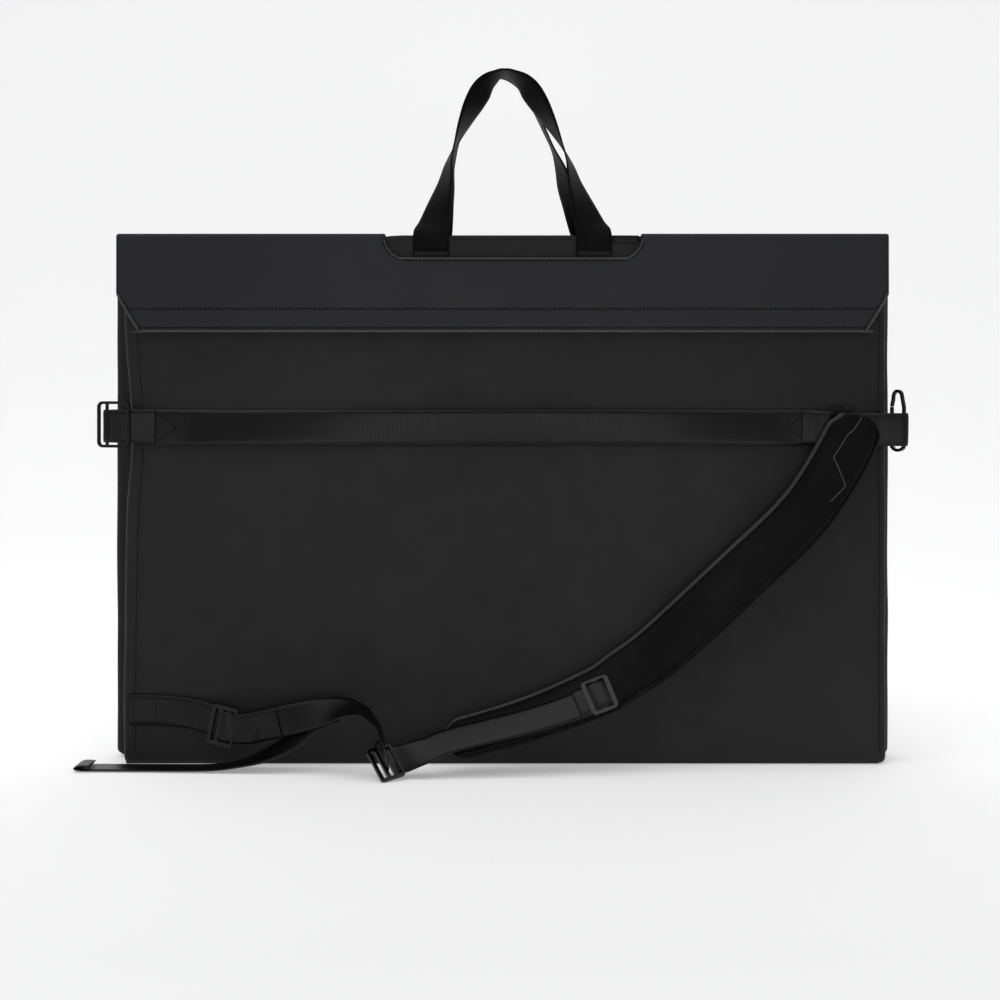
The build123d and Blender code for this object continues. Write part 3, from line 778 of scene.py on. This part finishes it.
# height, distance from the middle, and turn in degrees
LEGS = [
    (428.8, 67.9, 0), (436.0, 67.9, 0), (443.5, 67.4, 2), (454.1, 64.1, 27), (470.8, 59.5, 48),
    (487.4, 54.6, 64), (504.1, 50.8, 77), (520.8, 44.2, 90), (537.5, 36.2, 106), (554.1, 26.8, 122),
    (566.0, 18.6, 124), (575.0, 9.0, 106)
]


def handle(name, side, narrowing, lift, body):
    """One webbing loop that twists from flat at its feet to edge-on at its top."""
    points, across = [], []
    for end in (-1, 1):
        for height, spread, turn in LEGS if end < 0 else LEGS[::-1]:
            if side > 0 and end > 0:
                turn = min(turn, 90)
            rise = max(0.0, (height - 441) / (HANDLE_TOP - 441))
            drawn_in = narrowing * min(1.0, max(0.0, (height - 445) / 50)) * (end > 0)
            swing = math.radians(turn)
            higher = lift * max(0.0, (height - 535) / 45)
            x = HANDLE_MIDDLE + end * spread - HANDLE_SHIFT * rise - drawn_in * spread / HANDLE_SPREAD
            points.append((x, side * (29.2 - 13.2 * math.sin(swing)), height + higher))
            across.append((-end * math.cos(swing), side * math.sin(swing), 0.0))
        if end < 0:
            points.append(
                (HANDLE_MIDDLE - HANDLE_SHIFT - narrowing / 3, side * 15.8, HANDLE_TOP - 0.4 + lift)
            )
            across.append((0.0, side, 0.0))
    obj = web(name, points, across, 30.0, 1.7, material=HANDLE_WEBBING, crown=0.35, wave=0.12)
    settle(obj, body, "webbing", body)
    return obj


handle("front_handle_web", -1, 0.0, 0.0, "front_handle")
handle("back_handle_web", 1, 9.0, 3.8, "back_handle")
for side, sign in (("front", -1), ("back", 1)):
    for end, x in (("left", HANDLE_MIDDLE - HANDLE_SPREAD), ("right", HANDLE_MIDDLE + HANDLE_SPREAD)):
        y = sign * 29.2
        foot_route = [(x, y, 422.4), (x, y, 425.5), (x, y, 428.6)]
        foot = web(
            f"{side}_handle_foot_{end}", foot_route, [(1, 0, 0)] * 3, 30.0, 1.7, HANDLE_WEBBING,
            crown=0.35
        )
        settle(foot, f"{side}_half", "webbing", f"{side}_handle_patch_{end}")
        face = y + sign * 1.15
        tack_rows = [[(x - 14, face, z), (x + 14, face, z)] for z in (423.6, 424.8, 426.0, 427.2)]
        # bartacks in the lighter thread: painted sheen
        tack = stitches(f"{side}_handle_tack_{end}", tack_rows, (0, sign, 0), 2.2, 2.1, 0.75, BARTACK_SHEEN_THREAD)
        settle(tack, f"{side}_half", "webbing")

# ---------------------------------------------------------------- cross strap and its loops
CROSS_Z = 281.3
# the strap turns slowly about its length: x and tilt in degrees
CROSS_TILT = [(-292, 1), (-266, 3), (-245, 8), (-215, 9), (-160, 4), (-100, -3), (-20, -6)]
CROSS_TILT += [(60, -5), (120, -1), (170, 5), (215, 8), (242, 3), (262, 1)]
cross_points, cross_across = [], []
for x, tilt in CROSS_TILT:
    cross_points.append((x, -29.0 - 0.22 * abs(tilt), CROSS_Z + 0.2 * math.sin(x / 60)))
    cross_across.append((0, math.sin(math.radians(tilt)), math.cos(math.radians(tilt))))
cross = web("cross_strap_web", cross_points, cross_across, 30.0, 1.7, crown=0.15, wave=0.08)
settle(cross, "front_half", "webbing", "cross_strap")
left_loop = web(
    "left_loop_web",
    [
        (-289, -30.3, 282.2), (-298, -31.6, 282.4), (-308, -34.4, 282.5), (-320, -34.7, 282.5),
        (-328.6, -34.4, 282.5), (-331.2, -31.8, 282.5), (-328.6, -29.4, 282.5), (-318, -29.0, 282.4),
        (-306, -28.9, 282.2)
    ],
    [(0, 0, 1)] * 9, [29, 28.6, 28, 27.4, 27, 27, 27.4, 28, 28], 1.6, step=1.0, crown=0.2,
)
settle(left_loop, "front_half", "webbing", "left_ring_loop")
right_loop = web(
    "right_loop_web",
    [
        (292, -30.3, 279.6), (304, -31.6, 279.8), (314, -34.3, 279.6), (325, -34.9, 279.6),
        (333.6, -34.8, 279.5), (336.4, -32.0, 279.6), (333.6, -29.2, 279.6), (322, -28.9, 279.6),
        (306, -28.9, 279.4)
    ],
    [(0.02, 0, 1)] * 9, 27.4, 1.6, step=1.0, crown=0.2,
)
settle(right_loop, "front_half", "webbing", "right_side_loop")
anchor_loop = web(
    "anchor_loop_web",
    [
        (249, -30.4, 281.5), (257, -31.6, 281.4), (266, -34.2, 281.3), (272, -34.4, 281.3),
        (274.6, -31.8, 281.3), (272, -29.2, 281.3), (262, -28.95, 281.3)
    ],
    [(0.06, 0, 1)] * 7, [29, 28.6, 27.6, 27, 27, 27, 27.6], 1.6, step=1.0, crown=0.2,
)
settle(anchor_loop, "front_half", "webbing", "right_anchor_loop")


def chevron(x, reach, z, half, y):
    """Stitched arrow that fixes a strap's end."""
    return [
        [(x, y, z + half), (x + reach, y, z)], [(x + reach, y, z), (x, y, z - half)],
        [(x, y, z - half), (x, y, z + half)]
    ]


cross_thread = stitches(
    "cross_strap_thread",
    [*chevron(-288, 17, CROSS_Z, 12, -31.0), *chevron(252, -14, CROSS_Z, 12, -31.1)], (0, -1, 0),
    pitch=2.6, length=2.2, thick=0.55
)
settle(cross_thread, "front_half", "webbing")

# ---------------------------------------------------------------- shoulder pad
PAD_ROUTE = [
    (291.0, -44.0, 293.0), (284.9, -44.0, 269.5), (250.2, -44.0, 213.4), (196.9, -44.0, 160.7),
    (130.3, -48.0, 100.2), (97.0, -51.6, 77.4), (77.3, -54.0, 65.5), (22.4, -60.0, 44.6),
    (-46.5, -66.0, 26.0)
]
PAD_ACROSS = [
    (1.0, 0.0, -0.25), (0.93, 0.0, -0.36), (0.85, 0.0, -0.53), (0.72, -0.05, -0.68),
    (0.60, -0.35, -0.74), (0.50, -0.54, -0.74), (0.45, -0.62, -0.74), (0.30, -0.72, -0.66),
    (0.22, -0.74, -0.62)
]
PAD_WIDTH = [40.0, 44.0, 44.5, 44.5, 44.0, 43.5, 43.0, 42.0, 39.0]
pad_control = np.hstack([np.array(PAD_ROUTE), np.array(PAD_ACROSS), np.array(PAD_WIDTH)[:, None]])
PAD_ROWS = smooth_route(pad_control, 2.5)
PAD_TANGENT, PAD_SIDE, PAD_FACE = frames_along(PAD_ROWS[:, :3], PAD_ROWS[:, 3:6])
if PAD_FACE[0][1] > 0:
    PAD_FACE = -PAD_FACE
PAD_LENGTH = np.concatenate([[0], np.cumsum(np.linalg.norm(np.diff(PAD_ROWS[:, :3], axis=0), axis=1))])


def along_pad(rows, along):
    """The first three columns of rows kept per pad station, read at a length along the pad."""
    return np.array([np.interp(along, PAD_LENGTH, rows[:, a]) for a in range(3)])


def pad_narrowing(near, least=0.0):
    """How the pad's width closes over its last 17 mm, as a share of its full width."""
    return math.sqrt(max(least, 1 - max(0.0, 1 - near / 17) ** 2.4))


def on_pad(along, across, lift):
    """A point on the pad: millimetres from its top end, share of its half width, height off its middle."""
    half = np.interp(along, PAD_LENGTH, PAD_ROWS[:, 6]) / 2
    return along_pad(
        PAD_ROWS, along
    ) + along_pad(PAD_SIDE, along) * across * half + along_pad(PAD_FACE, along) * lift


def pad_form(name, material):
    """Lofted pad with a crowned face, rounded ends and pinched edges."""
    total = PAD_LENGTH[-1]
    stations = list(np.linspace(0.6, 16, 10)) + list(np.linspace(19, total - 19, 120)) + list(
        np.linspace(total - 16, total - 0.6, 10)
    )
    cols = [math.sin(math.radians(a)) for a in np.linspace(-90, 90, 19)]
    verts = []
    for s in stations:
        near = min(s, total - s)
        narrow = pad_narrowing(near)
        for f, order in ((1, cols), (-1, cols[::-1][1:-1])):
            for c in order:
                crown = (1 - abs(c) ** 2.1) ** 0.6 if abs(c) < 1 else 0
                lift = f * (0.8 + crown * 3.5) * (0.55 + 0.45 * min(1, near / 9))
                if f > 0:
                    lift += 0.22 * wobble(s, c * 20, 0, 26, 41) * crown
                verts.append(on_pad(s, c * narrow * 0.965, lift if abs(c) < 0.999 else 0.0))
    around = 2 * len(cols) - 2
    return add_mesh(name, verts, tube_faces(len(stations), around), material)


def puff(obj, voxel, pressure, most):
    """Swells a padded piece with a short cloth run, limits how far it moves and keeps the result."""
    scene = bpy.context.scene
    bpy.context.view_layer.objects.active = obj
    remesh = obj.modifiers.new("voxels", "REMESH")
    remesh.mode = "VOXEL"
    remesh.voxel_size = voxel * MM
    bpy.ops.object.modifier_apply(modifier=remesh.name)
    start = np.empty(len(obj.data.vertices) * 3)
    obj.data.vertices.foreach_get("co", start)
    cloth = obj.modifiers.new("cloth", "CLOTH")
    cloth.settings.effector_weights.gravity = 0
    cloth.settings.use_pressure = True
    cloth.settings.uniform_pressure_force = pressure
    cloth.settings.quality = 6
    cloth.point_cache.frame_start = 1
    cloth.point_cache.frame_end = 20
    for f in range(1, 21):
        scene.frame_set(f)
    puffed = obj.evaluated_get(bpy.context.evaluated_depsgraph_get())
    end = np.empty(len(puffed.data.vertices) * 3)
    puffed.data.vertices.foreach_get("co", end)
    obj.modifiers.remove(cloth)
    scene.frame_set(1)
    move = (end - start).reshape(-1, 3)
    move -= move.mean(axis=0)
    size = np.linalg.norm(move, axis=1)
    move *= np.minimum(1, most * MM / np.maximum(size, 1e-9))[:, None]
    obj.data.vertices.foreach_set("co", (start.reshape(-1, 3) + move).ravel())
    divide = obj.modifiers.new("divide", "SUBSURF")
    divide.levels = divide.render_levels = 1
    bpy.ops.object.modifier_apply(modifier=divide.name)
    for face in obj.data.polygons:
        face.use_smooth = True


# the pad body in the darker pad cloth: painted shade
pad = pad_form("shoulder_pad_body", PAD_SHADE_CLOTH)
puff(pad, 2.6, 4.0, 0.9)
settle(pad, "shoulder_strap", "pad_fabric", "shoulder_pad")

pad_total = PAD_LENGTH[-1]


def pad_edge(across, lift, inset):
    """A route that runs along one edge of the pad and round into its ends."""
    pts = []
    for s in np.linspace(inset, pad_total - inset, 44):
        pts.append(tuple(on_pad(s, across * pad_narrowing(min(s, pad_total - s), 0.05), lift)))
    return pts


# upper piping in the lighter cloth, a painted highlight; lower piping in the darker pad cloth, painted shade
# on the pad's lower edge
for tag, edge, radius, cover in (("upper", -0.965, 2.1, PIPING_HIGHLIGHT_CLOTH), ("lower", 0.985, 1.3, PAD_SHADE_CLOTH)):
    settle(bead(f"pad_piping_{tag}", pad_edge(edge, 0.2, 2.0), radius, cover), "shoulder_strap", "pad_fabric")


def pad_stitch_row(name, runs, pitch=3.2, length=2.4, thick=0.5):
    """Stitches that turn with the pad's own face."""
    verts, faces = [], []
    for run in runs:
        pts = np.array(run, float)
        scaled = pts * np.array([1.0, 20.0, 1.0])
        marks = np.concatenate([[0], np.cumsum(np.linalg.norm(np.diff(scaled[:, :2], axis=0), axis=1))])
        count = max(1, int(marks[-1] / pitch))
        for k in range(count):
            at = [(k + 0.5 + d) * marks[-1] / count for d in (-0.3, 0.0, 0.3)]
            spots = [on_pad(*(np.interp(m, marks, pts[:, a]) for a in range(3))) for m in at]
            out = along_pad(PAD_FACE, np.interp(at[1], marks, pts[:, 0]))
            add_stitch(verts, faces, spots[1], spots[2] - spots[0], out, length, thick)
    return add_mesh(name, verts, faces, THREAD)


pad_rows = [[(s, c, 3.05) for s in np.linspace(8, pad_total - 8, 60)] for c in (-0.78, 0.78)]
settle(pad_stitch_row("pad_edge_thread", pad_rows), "shoulder_strap", "webbing")

# end patch at the top: a stepped edge that crosses the pad
def patch_height(across, middle):
    """Height of the patch's layer over the pad's crown, from its height in the middle."""
    return middle - 2.9 * abs(across) ** 2.6


def pad_share(x, z):
    """Where a point of the front view lies on the pad: length from its top end, share of its half width."""
    flat = PAD_ROWS[:, [0, 2]]
    near = int(np.argmin(np.linalg.norm(flat - (x, z), axis=1)))
    side = PAD_SIDE[near][[0, 2]]
    return PAD_LENGTH[near], float(
        np.dot((x, z) - flat[near], side) / np.dot(side, side) / (PAD_ROWS[near, 6] / 2)
    )


STEPS = [
    pad_share(x, z)
    for x, z in ((294.9, 290.5), (283.4, 276.2), (271.1, 256.5), (281.7, 233.6), (269.4, 221.3))
]
step_s = [s for s, _ in STEPS]
step_c = [c for _, c in STEPS]
PATCH_COLUMNS = 13
patch_verts = []
patch_rows = np.linspace(3.5, step_s[-1], 44)
for s in patch_rows:
    low = float(np.interp(s, step_s, step_c))
    high = 0.86 * pad_narrowing(s, 0.05)
    for c in np.linspace(low, max(high, low + 0.05), PATCH_COLUMNS):
        patch_verts.append(on_pad(s, c, patch_height(c, 4.7)))
patch_faces = grid_faces(len(patch_rows), PATCH_COLUMNS)
# the patch in the darker pad cloth: painted shade
patch = thickened("pad_patch_cloth", patch_verts, patch_faces, 0.9, PAD_SHADE_CLOTH)
settle(patch, "shoulder_strap", "pad_fabric", "pad_end_patch")
step_route = []
for (s0, c0), (s1, c1) in zip(STEPS, STEPS[1:]):
    for t in (0.02, 0.25, 0.5, 0.75, 0.98):
        c = c0 + (c1 - c0) * t
        step_route.append(tuple(on_pad(s0 + (s1 - s0) * t, c, patch_height(c, 5.0))))
# the patch's stepped edge carries the painted highlight
settle(bead("pad_patch_edge", step_route, 0.55, EDGE_HIGHLIGHT, step=1.2), "shoulder_strap", "pad_fabric")
patch_stitches = [[(s, c + 0.09, patch_height(c + 0.09, 5.3)) for s, c in STEPS]]
settle(
    pad_stitch_row("pad_patch_thread", patch_stitches, pitch=3.0, length=2.3, thick=0.6),
    "shoulder_strap", "webbing"
)

# webbing sewn on the lower side of the pad's face, on through its end and into the upper lock
SLIDER_AT = float(np.interp(-77.3, -PAD_ROWS[:, 0], PAD_LENGTH))
WEB_LIFT = 5.0  # of the webbing's middle off the pad's middle
strap_route, strap_across = [], []
for k, shift in enumerate((0.34, 0.34, 0.32, 0.28, 0.22, 0.16, 0.14)):
    s = SLIDER_AT - 7 + (pad_total - 1 - SLIDER_AT + 7) * (k / 6) ** 1.4
    strap_route.append(tuple(on_pad(s, shift, WEB_LIFT)))
    strap_across.append(tuple(along_pad(PAD_SIDE, s)))
strap_route += [
    (-60.0, -73.8, 22.6), (-71.0, -74.6, 18.8), (-80.4, -74.0, 15.4), (-87.0, -73.2, 14.6),
    (-93.0, -75.6, 12.4)
]
strap_across += [
    (0.3, -0.7, -0.63), (0.4, -0.62, -0.66), (0.47, -0.57, -0.675), (0.47, -0.57, -0.675),
    (0.47, -0.57, -0.675)
]
pad_web = web("pad_strap_web", strap_route, strap_across, 25.0, 1.5, crown=0.15, wave=0.1)
settle(pad_web, "shoulder_strap", "webbing", "pad_webbing", "lead_webbing")

# folded webbing end that holds the pad's slider
fold_route = []
for reach, lift in ((-8.5, 6.8), (-4.5, 9.0), (0.0, 9.6), (4.5, 9.2), (8.5, 7.6), (14.0, 6.9), (20.0, 6.7)):
    fold_route.append(tuple(on_pad(SLIDER_AT + reach, 0.34, lift + 0.5 + 0.03 * max(0.0, reach))))
fold_across = [tuple(along_pad(PAD_SIDE, SLIDER_AT))] * 7
slider_fold = web("slider_fold_web", fold_route, fold_across, 24.4, 1.4, step=1.0, crown=0.2)
settle(slider_fold, "pad_slider", "webbing")

# loop that ties the pad's end to the anchor ring
end_loop = web(
    "pad_end_loop_web",
    [
        (277.5, -38.6, 281.3), (284, -37.4, 281.3), (291.3, -34.5, 281.3), (293.9, -31.8, 281.3),
        (291.3, -29.4, 281.3), (287, -30.2, 281.3), (283, -33.6, 281.3), (278, -36.8, 281.3)
    ],
    [(0, 0, 1)] * 8, 25.0, 1.5, step=1.0,
)
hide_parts("pad_end_loop")
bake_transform(end_loop)

# ---------------------------------------------------------------- lower tab, joining webbing and tail
for tag, shift, reach in (("under", 0.8, 0), ("over", -0.85, 7)):
    tab = web(
        f"lower_tab_{tag}",
        [
            (-311 , -29.7 + shift, 46.5), (-285, -29.7 + shift, 45.9), (-262, -31.2 + shift, 44.0),
            (-245, -35.6 + shift, 40.8), (-239.5 + 0.6 * reach, -38.6 + 1.6 * shift, 38.6)
        ],
        [(0.02, 0, 1), (0.03, 0, 1), (0.08, 0, 1), (0.14, 0, 1), (0.2, 0, 1)], 25.0, 1.5, crown=0.1,
    )
    if tag == "over":
        settle(tab, "front_half", "webbing", "lower_tab")
    else:
        settle(tab, "front_half", "webbing")
tab_thread = stitches(
    "lower_tab_thread",
    [
        [(-308, -31.4, z), (-270, -31.9, z - 0.8)] for z in (36.6, 56.0)
    ] + [[(x, -31.4, 36.6), (x, -31.4, 56.0)] for x in (-307, -288, -271)],
    (0, -1, 0), pitch=2.7, length=2.2, thick=0.5
)
settle(tab_thread, "front_half", "webbing")

joining = web(
    "joining_web",
    [
        (-236.0, -39.8, 36.2), (-229.5, -43.4, 34.6), (-221.5, -42.8, 33.4), (-212.5, -44.6, 33.2),
        (-199.0, -46.8, 36.0), (-183.3, -50.0, 39.8), (-160.0, -56.5, 46.5), (-142.6, -62.0, 51.4),
        (-127.2, -69.0, 54.5), (-112.2, -76.0, 52.5), (-101.0, -81.0, 43.0), (-96.6, -84.8, 33.0),
        (-94.4, -86.2, 24.8), (-96.2, -81.4, 19.4), (-97.6, -77.6, 15.2)
    ],
    [
        (0.14, 0, 1), (0.1, 0, 1), (0.0, 0.0, 1.0), (-0.1, 0.0, 1.0), (-0.1, -0.05, 1.0),
        (-0.12, 0.1, 0.99), (-0.2, 0.4, 0.9), (-0.2, 0.7, 0.7), (-0.1, 0.9, 0.4), (0.0, 1.0, 0.15),
        (0.0, 1.0, 0.05), (-0.05, 1.0, 0.1), (-0.25, 0.85, 0.35), (-0.47, 0.57, 0.675),
        (-0.47, 0.57, 0.675)
    ],
    25.0, 1.6, crown=0.1, wave=0.15,
)
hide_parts("joining_webbing")
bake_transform(joining)
joining_fold = web(
    "joining_fold_web",
    [
        (-221.5, -44.6, 33.4), (-212.5, -46.6, 33.2), (-205.5, -47.9, 34.3), (-199.0, -48.7, 36.0),
        (-190.0, -50.2, 38.0), (-183.5, -51.6, 39.8)
    ],
    [
        (0.0, 0.0, 1.0), (-0.1, 0.0, 1.0), (-0.1, 0.0, 1.0), (-0.1, -0.05, 1.0), (-0.1, 0.0, 1.0),
        (-0.12, 0.1, 0.99)
    ],
    24.6, 1.5, crown=0.3, wave=0.25,
)
settle(joining_fold, "shoulder_strap", "webbing")
joining_tack = stitches(
    "joining_tack",
    [
        [(-204.5 + k * 1.6, -49.0 - 0.22 * k, 23.6), (-205.5 + k * 1.6, -48.6 - 0.22 * k, 45.6)]
        for k in range(4)
    ],
    (-0.2, -1, 0), pitch=2.0, length=1.9, thick=0.6
)
settle(joining_tack, "shoulder_strap", "webbing")

tail = web(
    "tail_web",
    [
        (-134.0, -61.5, 53.0), (-145.0, -58.5, 48.0), (-157.0, -56.0, 38.0), (-170.0, -54.8, 26.5),
        (-192.0, -52.0, 14.0), (-215.0, -50.0, 6.2), (-240.0, -48.0, 2.4), (-290.0, -45.0, 1.5),
        (-330.0, -44.0, 1.5), (-345.0, -44.0, 1.6), (-350.2, -44.0, 3.1), (-346.0, -44.0, 4.9),
        (-338.0, -44.0, 4.6)
    ],
    [
        (0.2, -0.7, -0.7), (0.2, -0.72, -0.65), (0.2, -0.78, -0.5), (0.2, -0.85, -0.4),
        (0.1, -0.93, -0.25), (0.0, -1.0, -0.05), (0.0, -1.0, 0.0), (0.0, -1.0, 0.0), (0.0, -1.0, 0.0),
        (0.0, -1.0, 0.0), (0.0, -1.0, 0.0), (0.0, -1.0, 0.0), (0.0, -1.0, 0.0)
    ],
    25.0, 1.6, crown=0.1,
)
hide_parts("strap_tail", "strap_tail_end_fold")
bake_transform(tail)

# ---------------------------------------------------------------- inside: hanger point and garment straps
hanger_web = web(
    "hanger_web",
    [
        (0, 5.6, 431), (0, 5.2, 415), (0, 7.2, 409), (0, 11.2, 407.4), (0, 14.4, 409),
        (0, 13.0, 411.5), (0, 7.4, 414), (0, 6.9, 430)
    ],
    [(1, 0, 0)] * 8, 27.0, 1.3, step=1.2
)
settle(hanger_web, "back_half", "webbing", "hanger_bracket_tab")
for side, sign in (("back", 1), ("front", -1)):
    for tag, low, high in (("left", -314, -20), ("right", 22, 314)):
        ends = np.linspace(low, high, 7)
        strap = web(
            f"{side}_inner_strap_{tag}", [(x, sign * 6.7, 220.5) for x in ends], [(0, 0, 1)] * 7,
            24.6, 1.3, crown=0.1, wave=0.1
        )
        settle(strap, f"{side}_half", "webbing", f"{side}_garment_strap_{tag}")

# ---------------------------------------------------------------- zip on the front half
zip_y = -14.75
for tag, low, high in (("outer", -26.4, zip_y - 2.4), ("inner", zip_y + 2.4, -3.1)):
    middle = (low + high) / 2
    tape = web(
        f"zip_tape_{tag}_web", [(x, middle, 437) for x in (-314, -100, 100, 314)], [(0, 1, 0)] * 4,
        high - low, 0.9, material=ZIP_TAPE, step=6
    )
    settle(tape, "front_half", "zip_tape", f"front_zip_tape_{tag}")
coil_verts, coil_faces = [], []
LINK_SIDES = 8
for k in range(306):
    x = -299 + k * 2.0
    y = zip_y + (0.55 if k % 2 else -0.55)
    base = len(coil_verts)
    for end in (x - 0.62, x + 0.62):
        for a in np.linspace(0, 2 * math.pi, LINK_SIDES, endpoint=False):
            coil_verts.append((end, y + 1.5675 * math.cos(a), 437.0 + 0.7125 * math.sin(a)))
    coil_faces += [tuple(base + v for v in face) for face in tube_faces(2, LINK_SIDES)]
coil = add_mesh("zip_coil", coil_verts, coil_faces, PLASTIC, smooth=False)
settle(coil, "front_half", "zip_tape", "front_zip_chain")

# ---------------------------------------------------------------- hardware from the CAD
FINISH = {
    METAL: [
        "left_ring", "right_anchor_ring", "lower_ladder_lock", "upper_ladder_lock", "pad_slider",
        "snap_hook_frame", "snap_hook_gate", "zip_slider", "zip_pull", "hanger_ring"
    ],
    PLASTIC: ["back_buckle_socket", "back_buckle_tongue", "front_buckle_socket", "front_buckle_tongue"],
    BOARD: ["back_stiffener_board", "front_stiffener_board"],
}
for material, names in FINISH.items():
    for part in names:
        obj = NODES[part]
        obj.data.materials.clear()
        obj.data.materials.append(material)
        if material is not BOARD:
            bevel = obj.modifiers.new("worn_edges", "BEVEL")
            bevel.width = 0.45 * MM
            bevel.segments = 3
            bevel.limit_method = "ANGLE"
            bevel.angle_limit = math.radians(40)
            bevel.harden_normals = False
